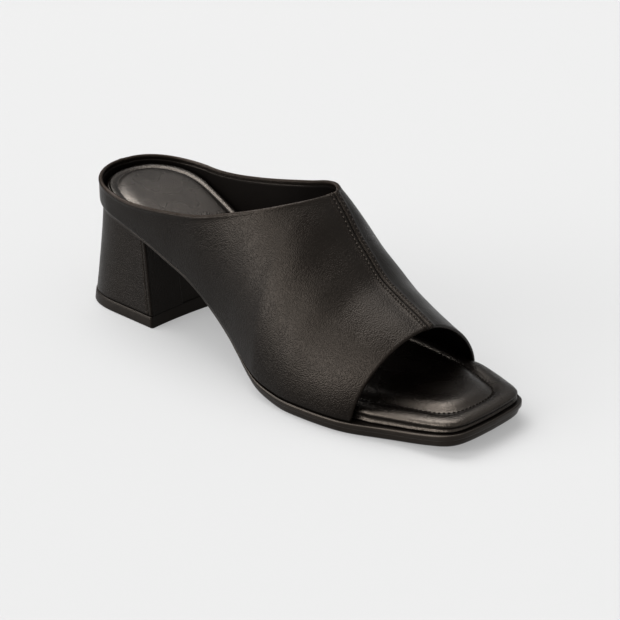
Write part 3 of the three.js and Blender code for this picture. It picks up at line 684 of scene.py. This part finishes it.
def offset_pairs(pairs, distance):
    """Moves each point outwards. distance takes x and the side, 0 for the outer side and 1 for the
    inner one."""
    ring = ring_of(pairs)
    edge = np.roll(ring, -1, 0) - np.roll(ring, 1, 0)
    edge /= np.linalg.norm(edge, axis=1, keepdims=True)
    out = np.stack([edge[:, 1], -edge[:, 0]], -1)
    count = len(pairs)
    side = np.concatenate([np.zeros(count, int), np.ones(count, int)])
    moved = ring + out * distance(ring[:, 0], side)[:, None]
    return np.stack([moved[:count], moved[count:][::-1]], 1)


END_REACH = 16.0  # stretch at each end over which an outline's width is taken as even
CROWN_REACH = 25.6  # stretch at each end over which the pad's crown rises


def shrink_pairs(pairs, distance):
    """Draws an outline in by a distance, evenly to its middle line and to its middle."""
    x = pairs[:, 0, 0]
    start, end = x[0], x[-1]
    middle, half_length = (start + end) / 2, (end - start) / 2
    half = (pairs[:, 1, 1] - pairs[:, 0, 1]) / 2
    half = np.interp(np.clip(x, start + END_REACH, end - END_REACH), x, half)
    d = distance(x)
    keep = 1 - d / half
    centre = (pairs[:, 0, 1] + pairs[:, 1, 1]) / 2
    moved = pairs.copy()
    moved[:, :, 0] = (middle + (x - middle) * (1 - d / half_length))[:, None]
    moved[:, :, 1] = centre[:, None] + (pairs[:, :, 1] - centre[:, None]) * keep[:, None]
    return moved


def narrow_pairs(pairs, keep):
    """Shrinks an outline to a share of itself, towards its middle line."""
    x = pairs[:, 0, 0]
    middle = (x[0] + x[-1]) / 2
    centre = (pairs[:, 0, 1] + pairs[:, 1, 1]) / 2
    reach = (x[-1] - x[0]) / 2 - (1 - keep) * CROWN_REACH
    moved = pairs.copy()
    moved[:, :, 0] = (middle + (x - middle) * reach / ((x[-1] - x[0]) / 2))[:, None]
    moved[:, :, 1] = centre[:, None] + (pairs[:, :, 1] - centre[:, None]) * keep
    return moved


def soften(pairs, reach):
    """Rounds an outline's corners over a distance."""
    ring = ring_of(pairs)
    steps = np.linalg.norm(np.roll(ring, -1, 0) - ring, axis=1)
    at = np.concatenate([[0], np.cumsum(steps)[:-1]])
    apart = np.abs(at[:, None] - at[None, :])
    apart = np.minimum(apart, steps.sum() - apart)
    weight = np.exp(-((apart / reach) ** 2)) * ((steps + np.roll(steps, 1)) / 2)[None, :]
    moved = weight @ ring / weight.sum(1, keepdims=True)
    count = len(pairs)
    return np.stack([moved[:count], moved[count:][::-1]], 1)


def stack(layers):
    """Points and faces of a closed solid from rings of equal count, from the bottom up. Each layer
    is (pairs, heights of the ring's points)."""
    points = []
    around = 2 * len(layers[0][0])
    for pairs, height in layers:
        ring = ring_of(pairs)
        points.append(np.column_stack([ring, height(ring[:, 0], ring[:, 1])]))
    faces = ring_faces(len(layers), around)
    last = (len(layers) - 1) * around
    for i in range(around // 2 - 1):
        across, nearer = around - 1 - i, around - 2 - i
        faces.append([i, across, nearer, i + 1])
        faces.append([last + i, last + i + 1, last + nearer, last + across])
    return np.concatenate(points), faces


# Outsole

BACK_ROW = 0.12
# Rows of the plan outlines' points, closer together round the heel and the toes.
PLAN_ROWS = np.concatenate(
    [
        BACK_ROW * np.array([1, 1.8, 2.8, 4.2]),
        np.linspace(0.65, ARC_END, 30),
        np.linspace(ARC_END, TOE_START, 96)[1:],
        np.linspace(TOE_START, LAST_END - 0.03, 60)[1:],
    ]
)

edge_reach = smooth(SOLE_EDGE)
# inset as a share of SOLE_STEP, height as a share of the thickness
SOLE_SIDE = [
    (2.6, 0), (1.9, 0.03), (1.5, 0.08), (1.25, 0.16), (1.08, 0.3), (1.04, 0.44), (1.06, 0.5),
    (1.15, 0.535), (0.7, 0.555), (0.2, 0.57), (0.02, 0.6), (0, 0.68), (0, 0.82), (0.05, 0.91),
    (0.17, 0.96), (0.4, 0.99), (0.9, 1.0),
]


def build_outsole(material):
    pairs = pairs_of(PLAN_ROWS)
    layers = []
    for inset, height in SOLE_SIDE:
        outline = offset_pairs(
            pairs,
            lambda x, side: SOLE_REACH * edge_reach(x / LENGTH)
            - inset * SOLE_STEP * sole_share(x / LENGTH),
        )
        layers.append(
            (outline, lambda x, y, h=height: feather(x) - sole_thickness(x) * (1 - h))
        )
    points, faces = stack(layers)
    return to_object("outsole_shell", points, faces, [material])


# Footbed

CHANNEL_TOE = 7.8
CHANNEL_HEEL = 4.6
CHANNEL_ROUNDING = 7.0
CHANNEL_HEEL_DEPTH = 0.5  # share of the channel's depth that is left where the pad isn't puffed
WIDENING_START = 1.0
WIDENING_LENGTH = 7.0
FOOTBED_COVERED = 1.0
FOOTBED_BALL = 2.1
LEAN_START = 60.0
FOOTBED_OPEN = 0.8
PUFF_START = 120.0
PUFF_LENGTH = 60.0
PUFF_HEEL = 0.35
CROWN_HEIGHT = 0.35
CROWN_RINGS = (0.86, 0.7, 0.52, 0.34, 0.16)
PAD_STITCHES_FROM = 150.0
PAD_STITCH_ENDS = 1.0
PAD_STITCH_PITCH = 2.1
PAD_STITCH_LENGTH = 1.25
PAD_STITCH_RADIUS = 0.42
PAD_STITCH_DEPTH = 0.5
# Side of the pad: inset in millimetres and height over its underside, then depth under its top.
PAD_FOOT = [(0.9, 0.0), (0.35, 0.03), (0.1, 0.18), (0.03, 0.5), (0.2, 0.95), (0.5, 1.18)]
PAD_SIDE = [
    (0.35, 3.2), (0.1, 2.75), (0.0, 2.3), (0.1, 1.85), (0.38, 1.35), (0.85, 0.87), (1.5, 0.45),
    (2.2, 0.12),
]
# Top of the pad: share of the channel's distance, and depth.
PAD_TOP = [
    (0.38, -0.12), (0.48, -0.34), (0.58, -0.42), (0.7, -0.34), (0.8, -0.08), (0.88, 0.26),
    (0.95, 0.6), (1.0, 0.74), (1.05, 0.6), (1.12, 0.24), (1.2, -0.26), (1.3, -0.88),
    (1.42, -1.52), (1.56, -2.05), (1.74, -2.44), (2.0, -2.66), (2.4, -2.75),
]


def channel(x):
    """How far inside the footbed's edge the sewn channel runs."""
    return mix(CHANNEL_HEEL, CHANNEL_TOE, ease(x / LENGTH))


def footbed_edge(rows):
    opening = np.array([OPENING_FOOT_AT["lateral"], OPENING_FOOT_AT["medial"]])

    def inset(x, side):
        lean = ease((x - opening[side] + LEAN_START) / LEAN_START)
        widening = ease((x - opening[side] - WIDENING_START) / WIDENING_LENGTH)
        return -mix(mix(FOOTBED_COVERED, FOOTBED_BALL, lean), FOOTBED_OPEN, widening)

    return offset_pairs(pairs_of(rows), inset)


def pad_floor(x):
    return feather(x) + CLEARANCE


def pad_top(x):
    return pad_floor(x) + footbed_thickness(x)


def puff(x):
    """How full the padding is: soft over the toes, thin at the waist, firm at the heel."""
    return mix(PUFF_HEEL, 1.0, ease((x - PUFF_START) / PUFF_LENGTH))


def build_footbed(material):
    edge = footbed_edge(PLAN_ROWS)
    layers = []
    for inset, height in PAD_FOOT:
        pairs = shrink_pairs(edge, lambda x: np.full(x.shape, inset))
        layers.append((pairs, lambda x, y, h=height: pad_floor(x) + h))
    for inset, drop in PAD_SIDE:
        pairs = shrink_pairs(edge, lambda x: np.full(x.shape, inset))
        layers.append((pairs, lambda x, y, d=drop: pad_top(x) - d))
    for share, drop in PAD_TOP:
        pairs = shrink_pairs(edge, lambda x: channel(x) * share)
        pairs = soften(pairs, CHANNEL_ROUNDING * min(share, 1))

        def height(x, y, d=drop):
            sunk = mix(CHANNEL_HEEL_DEPTH, 1.0, puff(x))
            return pad_top(x) - d * (sunk if d > 0 else puff(x))

        layers.append((pairs, height))
    last_share, last_drop = PAD_TOP[-1]
    inner = soften(shrink_pairs(edge, lambda x: channel(x) * last_share), CHANNEL_ROUNDING)
    for keep in CROWN_RINGS:
        rise = CROWN_HEIGHT * (1 - keep**2) - last_drop
        layers.append((narrow_pairs(inner, keep), lambda x, y, r=rise: pad_top(x) + r * puff(x)))
    points, faces = stack(layers)
    return to_object("footbed_pad", points, faces, [material])


def footbed_stitches(material):
    pairs = soften(shrink_pairs(footbed_edge(PLAN_ROWS), channel), CHANNEL_ROUNDING)
    line = ring_of(pairs[pairs[:, 0, 0] > PAD_STITCHES_FROM])
    steps = np.linalg.norm(np.diff(line, axis=0), axis=1)
    travel = np.concatenate([[0], np.cumsum(steps)])

    def at(s):
        x, y = np.interp(s, travel, line[:, 0]), np.interp(s, travel, line[:, 1])
        return np.array([x, y, pad_top(x) - PAD_STITCH_DEPTH])

    places = []
    step = 0.4
    for s in np.arange(PAD_STITCH_ENDS, travel[-1] - PAD_STITCH_ENDS, PAD_STITCH_PITCH):
        places.append((at(s), at(s + step) - at(s), np.array([0, 0, 1.0])))
    return capsules("footbed_stitches", places, PAD_STITCH_LENGTH, PAD_STITCH_RADIUS, material)


# Heel

HEEL_BACK_OVERHANG = 3.3
HEEL_TOP_FULLNESS = 2.35
HEEL_FOOT_FULLNESS = 2.8
HEEL_FOOT_DEPTH = 29.5
HEEL_FLARE_POWER = 1.25
HEEL_TUCK = 0.45  # how far the cover turns in at the foot, and over what share of the height
HEEL_TUCK_SHARE = 0.012
BREAST_ROUNDING = 1.0
# Places round the side, as shares of the stretch from the front corner back to the arc.
SIDE_PLACES = (0.85, 0.7, 0.55, 0.4, 0.28, 0.18)
CORNER_LEAD = 0.25
FOLD_AT = 2.0  # line of the cover's fold, beside the heel's front corners
FOLD_DEPTH = 0.32
# distance from the fold's line, share of its depth
FOLD = [(-0.45, 0), (-0.2, 0.6), (0, 1), (0.2, 0.6), (0.45, 0)]
# Where the cover ends on the hollow front, its edge slopes over this width.
COVER_EDGE = 0.3
COVER_EDGE_PLACES = (0.4, 0.15, 0.05, -0.05, -0.15, -0.4)
# Levels of the covered block, as shares of its height.
HEEL_LEVELS = np.concatenate([[0, 0.004, 0.012, 0.03], np.linspace(0.06, 0.97, 22), [0.99, 1.0]])


def heel_front(half, z, recess):
    """The heel's front at height z: x as a function of y, and points across it."""

    def breast(y):
        hollow = BREAST_HOLLOW * np.maximum(0, 1 - (y / (HEEL_FOOT_WIDTH / 2)) ** 2)
        step = recess * ease((COVER_END + COVER_EDGE / 2 - np.abs(y)) / COVER_EDGE)
        lean = mix(BREAST_FOOT_AT, BREAST_AT, z / SEAT_HEIGHT)
        skew = BREAST_SKEW * (y / HEEL_FOOT_WIDTH + 0.5)
        return lean + skew - hollow - step

    inner = half - BREAST_ROUNDING
    columns = np.concatenate(
        [
            np.linspace(inner - 1.0, COVER_END + 1.0, 12),
            COVER_END + np.array(COVER_EDGE_PLACES),
            np.linspace(COVER_END - 1.2, 0, 7),
        ]
    )
    columns = np.concatenate([-columns, columns[:-1][::-1]])
    return breast, np.stack([breast(columns), columns], -1)


def heel_side(sign, corner, start, half, fold):
    """One side of a level, from the arc's end to the front: the fold, then the rounded corner."""
    r = BREAST_ROUNDING
    points = [(corner - (corner - start) * share, half) for share in SIDE_PLACES]
    points += [(corner - FOLD_AT + at, half - share * fold) for at, share in FOLD]
    points.append((corner - r - CORNER_LEAD, half))
    for angle in np.linspace(0, math.pi / 2, 6):
        points.append((corner - r + r * math.sin(angle), half - r + r * math.cos(angle)))
    return np.array(points, float) * np.array([1, sign])


def heel_ring(level, z, recess, fold=0.0, proud=0.0):
    """One level of the heel: the back and the sides, then across the hollow front."""
    spread = (1 - level) ** HEEL_FLARE_POWER
    back = mix(BACK_AT + CLEARANCE, -HEEL_BACK_OVERHANG, spread) - proud
    half = mix(SEAT_WIDTH / 2 - CLEARANCE, HEEL_FOOT_WIDTH / 2, spread) + proud
    fullness = mix(HEEL_TOP_FULLNESS, HEEL_FOOT_FULLNESS, spread)
    depth = mix(BACK_DEPTH, HEEL_FOOT_DEPTH, spread) + proud
    angles = np.linspace(0, math.pi / 2, 37)[1:]
    angles[0] *= 0.6  # keeps the edge across the middle of the back short
    forward = 1 - np.maximum(np.cos(angles), 0) ** (2 / fullness)
    out = np.sin(angles) ** (2 / fullness)
    arc = np.stack([back + depth * forward, half * out], -1)
    breast, front = heel_front(half, z, recess)
    near, far = [
        heel_side(sign, breast(np.array(sign * half)), back + depth, half, fold)
        for sign in (-1, 1)
    ]
    return np.concatenate([arc * np.array([1, -1]), near, front, far[::-1], arc[::-1]])


def loft(rings):
    """Points and faces of a closed solid from rings of points, capped by fans."""
    count = len(rings[0])
    points = np.concatenate(rings)
    faces = ring_faces(len(rings), count)
    bottom, top = rings[0].mean(0), rings[-1].mean(0)
    points = np.concatenate([points, [bottom, top]])
    last = (len(rings) - 1) * count
    for i in range(count):
        n = (i + 1) % count
        faces.append([n, i, len(points) - 2])
        faces.append([last + i, last + n, len(points) - 1])
    return points, faces


def build_heel(material):
    foot = TOP_PIECE_THICKNESS + CLEARANCE
    rings = []
    for share in HEEL_LEVELS:
        level = mix(foot / SEAT_HEIGHT, 1, share)
        tuck = HEEL_TUCK * max(0, 1 - share / HEEL_TUCK_SHARE) ** 2
        z = mix(foot, SEAT_HEIGHT, share)
        ring = heel_ring(level, z, COVER_THICKNESS, fold=FOLD_DEPTH, proud=-tuck)
        top = feather(ring[:, 0]) - sole_thickness(ring[:, 0]) - CLEARANCE
        rings.append(np.column_stack([ring, mix(foot, top, share)]))
    points, faces = loft(rings)
    return to_object("heel_cover", points, faces, [material])


TOP_PIECE_PROUD = 0.35
# height over the floor and how far the side stands back from its full width
TOP_PIECE_SIDE = [(0, 0.7), (0.12, 0.4), (0.35, 0.15), (0.7, 0), (2.2, 0), (4.2, 0),
                  (5.3, 0.02), (5.55, 0.12), (5.7, 0.35)]


def build_top_piece(material):
    rings = []
    for z, back in TOP_PIECE_SIDE:
        ring = heel_ring(z / SEAT_HEIGHT, z, 0.0, proud=TOP_PIECE_PROUD - back)
        rings.append(np.column_stack([ring, np.full(len(ring), z)]))
    points, faces = loft(rings)
    return to_object("top_piece_rubber", points, faces, [material])


# Materials

WARM = (1.0, 0.87, 0.75)  # tint of the reflections
PEBBLE_WARP = 0.0005  # lengths in the materials are metres
PEBBLE_RELIEF = 0.00011
SPECKLE_RELIEF = 0.00006
STRAND_RELIEF = 0.00008
SOFT_SCALE = 70.0
BROAD_SCALE = 22.0
PORE_HEIGHT = 0.2
SOFT_HEIGHT = 0.7
PEBBLE_TONE = 0.4
PORE_DULLNESS = 0.04
GROOVE_DULLNESS = 0.55


def new_material(name):
    material = bpy.data.materials.new(name)
    material.use_nodes = True
    tree = material.node_tree
    tree.nodes.clear()
    output = tree.nodes.new("ShaderNodeOutputMaterial")
    shader = tree.nodes.new("ShaderNodeBsdfPrincipled")
    tree.links.new(shader.outputs[0], output.inputs[0])
    return material, tree, shader


def object_coordinates(tree):
    return tree.nodes.new("ShaderNodeTexCoord").outputs["Object"]


def set_inputs(node, values):
    for name, value in values.items():
        node.inputs[name].default_value = value


def noise(tree, coordinates, scale, detail=3.0, roughness=0.55):
    node = tree.nodes.new("ShaderNodeTexNoise")
    set_inputs(node, {"Scale": scale, "Detail": detail, "Roughness": roughness})
    tree.links.new(coordinates, node.inputs["Vector"])
    return node.outputs["Fac"]


def ramp(tree, value, low, high, start, end):
    node = tree.nodes.new("ShaderNodeMapRange")
    tree.links.new(value, node.inputs["Value"])
    set_inputs(node, {"From Min": low, "From Max": high, "To Min": start, "To Max": end})
    return node.outputs["Result"]


def noise_ramp(tree, value, start, end):
    """Spreads a noise, which seldom leaves 0.3 to 0.7, from start to end."""
    return ramp(tree, value, 0.3, 0.7, start, end)


def math_node(tree, operation, a, b):
    node = tree.nodes.new("ShaderNodeMath")
    node.operation = operation
    for k, value in enumerate((a, b)):
        if isinstance(value, (int, float)):
            node.inputs[k].default_value = value
        else:
            tree.links.new(value, node.inputs[k])
    return node.outputs[0]


def add_share(tree, total, value, share):
    return math_node(tree, "ADD", total, math_node(tree, "MULTIPLY", value, share))


def color_mix(tree, factor, a, b):
    """A colour from a to b, each of them three numbers or another node's output."""
    node = tree.nodes.new("ShaderNodeMix")
    node.data_type = "RGBA"
    tree.links.new(factor, node.inputs["Factor"])
    for key, color in (("A", a), ("B", b)):
        if isinstance(color, tuple):
            node.inputs[key].default_value = (*color, 1)
        else:
            tree.links.new(color, node.inputs[key])
    return node.outputs["Result"]


def point_value(tree, name):
    node = tree.nodes.new("ShaderNodeAttribute")
    node.attribute_name = name
    return node.outputs["Fac"]


def add_relief(tree, shader, height, strength, distance):
    node = tree.nodes.new("ShaderNodeBump")
    set_inputs(node, {"Strength": strength, "Distance": distance})
    tree.links.new(height, node.inputs["Height"])
    tree.links.new(node.outputs[0], shader.inputs["Normal"])


def warm_gloss(shader, specular):
    set_inputs(shader, {"Specular IOR Level": specular, "Specular Tint": (*WARM, 1)})


def scaled(color, factor):
    return tuple(part * factor for part in color)


def leather(name, dark, light, rough, grain, bump, specular=0.16, wear_and_highlight_color=None):
    """Smooth leather: fine pebbles, pores and a little change of colour and gloss."""
    material, tree, shader = new_material(name)
    coordinates = object_coordinates(tree)
    pebbles = tree.nodes.new("ShaderNodeTexVoronoi")
    pebbles.feature = "SMOOTH_F1"
    set_inputs(pebbles, {"Smoothness": 0.4, "Scale": grain})
    warp = tree.nodes.new("ShaderNodeVectorMath")
    warp.operation = "MULTIPLY_ADD"
    tree.links.new(noise(tree, coordinates, grain * 0.35, 2.0), warp.inputs[0])
    warp.inputs[1].default_value = (PEBBLE_WARP,) * 3
    tree.links.new(coordinates, warp.inputs[2])
    tree.links.new(warp.outputs[0], pebbles.inputs["Vector"])
    pebble = ramp(tree, pebbles.outputs["Distance"], 0.1, 0.7, 1.0, 0.0)
    pores = noise(tree, coordinates, grain * 2.2, 3.0, 0.6)
    soft = noise(tree, coordinates, SOFT_SCALE, 1.0, 0.5)
    broad = noise(tree, coordinates, BROAD_SCALE, 2.0, 0.5)
    height = add_share(tree, add_share(tree, pebble, pores, PORE_HEIGHT), soft, SOFT_HEIGHT)
    add_relief(tree, shader, height, bump, PEBBLE_RELIEF)

    blend = math_node(tree, "MULTIPLY", noise_ramp(tree, broad, 0.0, 1.0), 1 - PEBBLE_TONE)
    color = color_mix(tree, add_share(tree, blend, pebble, PEBBLE_TONE), dark, light)
    gloss = noise_ramp(tree, soft, rough - 0.04, rough + 0.05)
    gloss = add_share(tree, gloss, pores, PORE_DULLNESS)
    # Where the point mask is high, the colour goes towards a lighter brown: partly wear, partly a
    # painted highlight on the upper's edges and seam.
    if wear_and_highlight_color:
        color = color_mix(tree, point_value(tree, "wear_and_highlight"), color, wear_and_highlight_color)
        gloss = add_share(tree, gloss, point_value(tree, "groove"), GROOVE_DULLNESS)
    tree.links.new(color, shader.inputs["Base Color"])
    tree.links.new(gloss, shader.inputs["Roughness"])
    warm_gloss(shader, specular)
    return material


def rubber(name, color, rough, speckle, specular):
    """Moulded rubber: fine matt texture with faint scuffs."""
    material, tree, shader = new_material(name)
    coordinates = object_coordinates(tree)
    fine = noise(tree, coordinates, 2200.0, 2.0)
    soft = noise(tree, coordinates, 130.0, 3.0)
    scuffed = noise_ramp(tree, soft, 0.0, 1.0)
    tone = color_mix(tree, scuffed, scaled(color, 0.8), scaled(color, 1.3))
    gloss = noise_ramp(tree, soft, rough - 0.05, rough + 0.06)
    tree.links.new(tone, shader.inputs["Base Color"])
    tree.links.new(gloss, shader.inputs["Roughness"])
    add_relief(tree, shader, math_node(tree, "ADD", fine, soft), speckle, SPECKLE_RELIEF)
    warm_gloss(shader, specular)
    return material


def thread(name, color, specular):
    """Twisted polyester sewing thread."""
    material, tree, shader = new_material(name)
    strands = noise(tree, object_coordinates(tree), 3500.0, 1.0)
    tone = color_mix(tree, strands, scaled(color, 0.6), scaled(color, 1.5))
    tree.links.new(tone, shader.inputs["Base Color"])
    tree.links.new(noise_ramp(tree, strands, 0.5, 0.7), shader.inputs["Roughness"])
    add_relief(tree, shader, strands, 0.5, STRAND_RELIEF)
    warm_gloss(shader, specular)
    return material


# The lighter brown for the edges and the seam's rise is partly wear, partly a painted highlight.
upper_leather = leather(
    "upper_leather", (0.0012, 0.0008, 0.0006), (0.0024, 0.0017, 0.0013), 0.29, 1700.0, 0.8,
    wear_and_highlight_color=(0.02, 0.013, 0.009),
)
lining_leather = leather(
    "lining_leather", (0.0008, 0.0005, 0.0005), (0.0016, 0.0011, 0.001), 0.55, 1300.0, 0.2,
    specular=0.08,
)
pad_leather = leather(
    "pad_leather", (0.0014, 0.001, 0.0008), (0.0026, 0.0019, 0.0015), 0.25, 1500.0, 0.7,
    specular=0.42,
)
cover_leather = leather(
    "cover_leather", (0.0014, 0.001, 0.0008), (0.0026, 0.0019, 0.0015), 0.31, 1700.0, 0.8,
    specular=0.2,
)
sole_rubber = rubber("sole_rubber", (0.003, 0.0022, 0.0018), 0.33, 0.2, 0.34)
heel_rubber = rubber("heel_rubber", (0.003, 0.0022, 0.0018), 0.45, 0.3, 0.22)
seam_thread = thread("seam_thread", (0.009, 0.007, 0.0055), 0.4)
pad_thread = thread("pad_thread", (0.002, 0.0016, 0.0013), 0.12)

# Pieces

upper = build_upper([upper_leather, lining_leather])
stitches = seam_stitches(seam_thread)
pad = build_footbed(pad_leather)
pad_stitches = footbed_stitches(pad_thread)
outsole = build_outsole(sole_rubber)
heel = build_heel(cover_leather)
top_piece = build_top_piece(heel_rubber)

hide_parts("upper")
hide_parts("footbed")
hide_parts("outsole")
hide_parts("heel_block")
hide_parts("heel_top_piece")
for piece, slot_name in (
    (upper, "upper_leather"),
    (stitches, "upper_leather"),
    (pad, "footbed_leather"),
    (pad_stitches, "footbed_leather"),
    (outsole, "sole_rubber"),
    (heel, "heel_leather"),
    (top_piece, "heel_rubber"),
):
    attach(piece, "root")

# Floor: pale paper, faintly lit from within

FLOOR_REACH = 6.0
FLOOR_TONE = 0.147
FLOOR_GLOW = 0.37

floor_mesh = bpy.data.meshes.new("floor")
corner_signs = ((-1, -1), (1, -1), (1, 1), (-1, 1))
floor_corners = [(x * FLOOR_REACH, y * FLOOR_REACH, 0) for x, y in corner_signs]
floor_mesh.from_pydata(floor_corners, [], [(0, 1, 2, 3)])
floor = bpy.data.objects.new("floor", floor_mesh)
bpy.context.scene.collection.objects.link(floor)
floor_material, _, floor_shader = new_material("floor_paper")
set_inputs(floor_shader, {"Base Color": (FLOOR_TONE, FLOOR_TONE, FLOOR_TONE, 1)})
set_inputs(floor_shader, {"Emission Color": (1, 1, 1, 1), "Emission Strength": FLOOR_GLOW})
set_inputs(floor_shader, {"Roughness": 0.9, "Specular IOR Level": 0.2})
floor_mesh.materials.append(floor_material)

# Light

# Soft lights of the studio, all far away: azimuth from -Y towards +X, elevation, the angles from
# its middle at which each is full and gone, and strength. The strong ones are overhead, in front of
# the outer side and behind the heel.
STUDIO_LIGHTS = [
    (248, 67, 8, 29, 9.8), (352, 47, 6, 21, 7.4), (344, 27, 6, 22, 5.6), (341, 9, 8, 24, 8.4),
    (317, 6, 5, 22, 8.5), (287, 49, 8, 24, 8.0), (219, 42, 5, 36, 0.4), (185, 18, 8, 36, 0.5),
    (114, 50, 10, 55, 1.5), (30, 30, 10, 50, 0.9), (70, 4, 6, 40, 1.2),
]
STUDIO_DIM = 0.05  # light from everywhere else
STUDIO_WALL = 0.88  # what the camera sees behind the floor's edge

scene = bpy.context.scene
world = bpy.data.worlds.new("studio")
world.use_nodes = True
world_tree = world.node_tree
scene.world = world


def toward(azimuth, elevation):
    around, up = math.radians(azimuth), math.radians(elevation)
    return (math.sin(around) * math.cos(up), -math.cos(around) * math.cos(up), math.sin(up))


direction = world_tree.nodes.new("ShaderNodeTexCoord").outputs["Generated"]
total = STUDIO_DIM
for azimuth, elevation, inner, outer, strength in STUDIO_LIGHTS:
    edge_on, full = math.cos(math.radians(outer)), math.cos(math.radians(inner))
    facing = world_tree.nodes.new("ShaderNodeVectorMath")
    facing.operation = "DOT_PRODUCT"
    world_tree.links.new(direction, facing.inputs[0])
    facing.inputs[1].default_value = toward(azimuth, elevation)
    patch = ramp(world_tree, facing.outputs["Value"], edge_on, full, 0.0, strength)
    patch.node.interpolation_type = "SMOOTHSTEP"
    total = math_node(world_tree, "ADD", total, patch)
ray = world_tree.nodes.new("ShaderNodeLightPath")
seen = world_tree.nodes.new("ShaderNodeMix")
world_tree.links.new(ray.outputs["Is Camera Ray"], seen.inputs["Factor"])
world_tree.links.new(total, seen.inputs["A"])
seen.inputs["B"].default_value = STUDIO_WALL
background = world_tree.nodes["Background"]
background.inputs["Color"].default_value = (1, 1, 1, 1)
world_tree.links.new(seen.outputs["Result"], background.inputs["Strength"])

# Camera

CAMERA_AZIMUTH = 43.75
CAMERA_ELEVATION = 24.58
CAMERA_DISTANCE = 0.82847
CAMERA_AIM = Vector((0.0101292, 0.0045816, 0.02455))
CAMERA_LENS = 104.516

camera_data = bpy.data.cameras.new("camera")
camera = bpy.data.objects.new("camera", camera_data)
scene.collection.objects.link(camera)
camera_data.sensor_width = 36
camera_data.lens = CAMERA_LENS
camera_back = Vector(toward(CAMERA_AZIMUTH, CAMERA_ELEVATION))
camera.location = CAMERA_AIM + camera_back * CAMERA_DISTANCE
camera.rotation_euler = (-camera_back).to_track_quat("-Z", "Y").to_euler()
camera_data.clip_start = 0.05
camera_data.clip_end = 50
scene.camera = camera
scene.view_settings.view_transform = "Standard"
scene.view_settings.look = "None"
scene.view_settings.gamma = 0.85
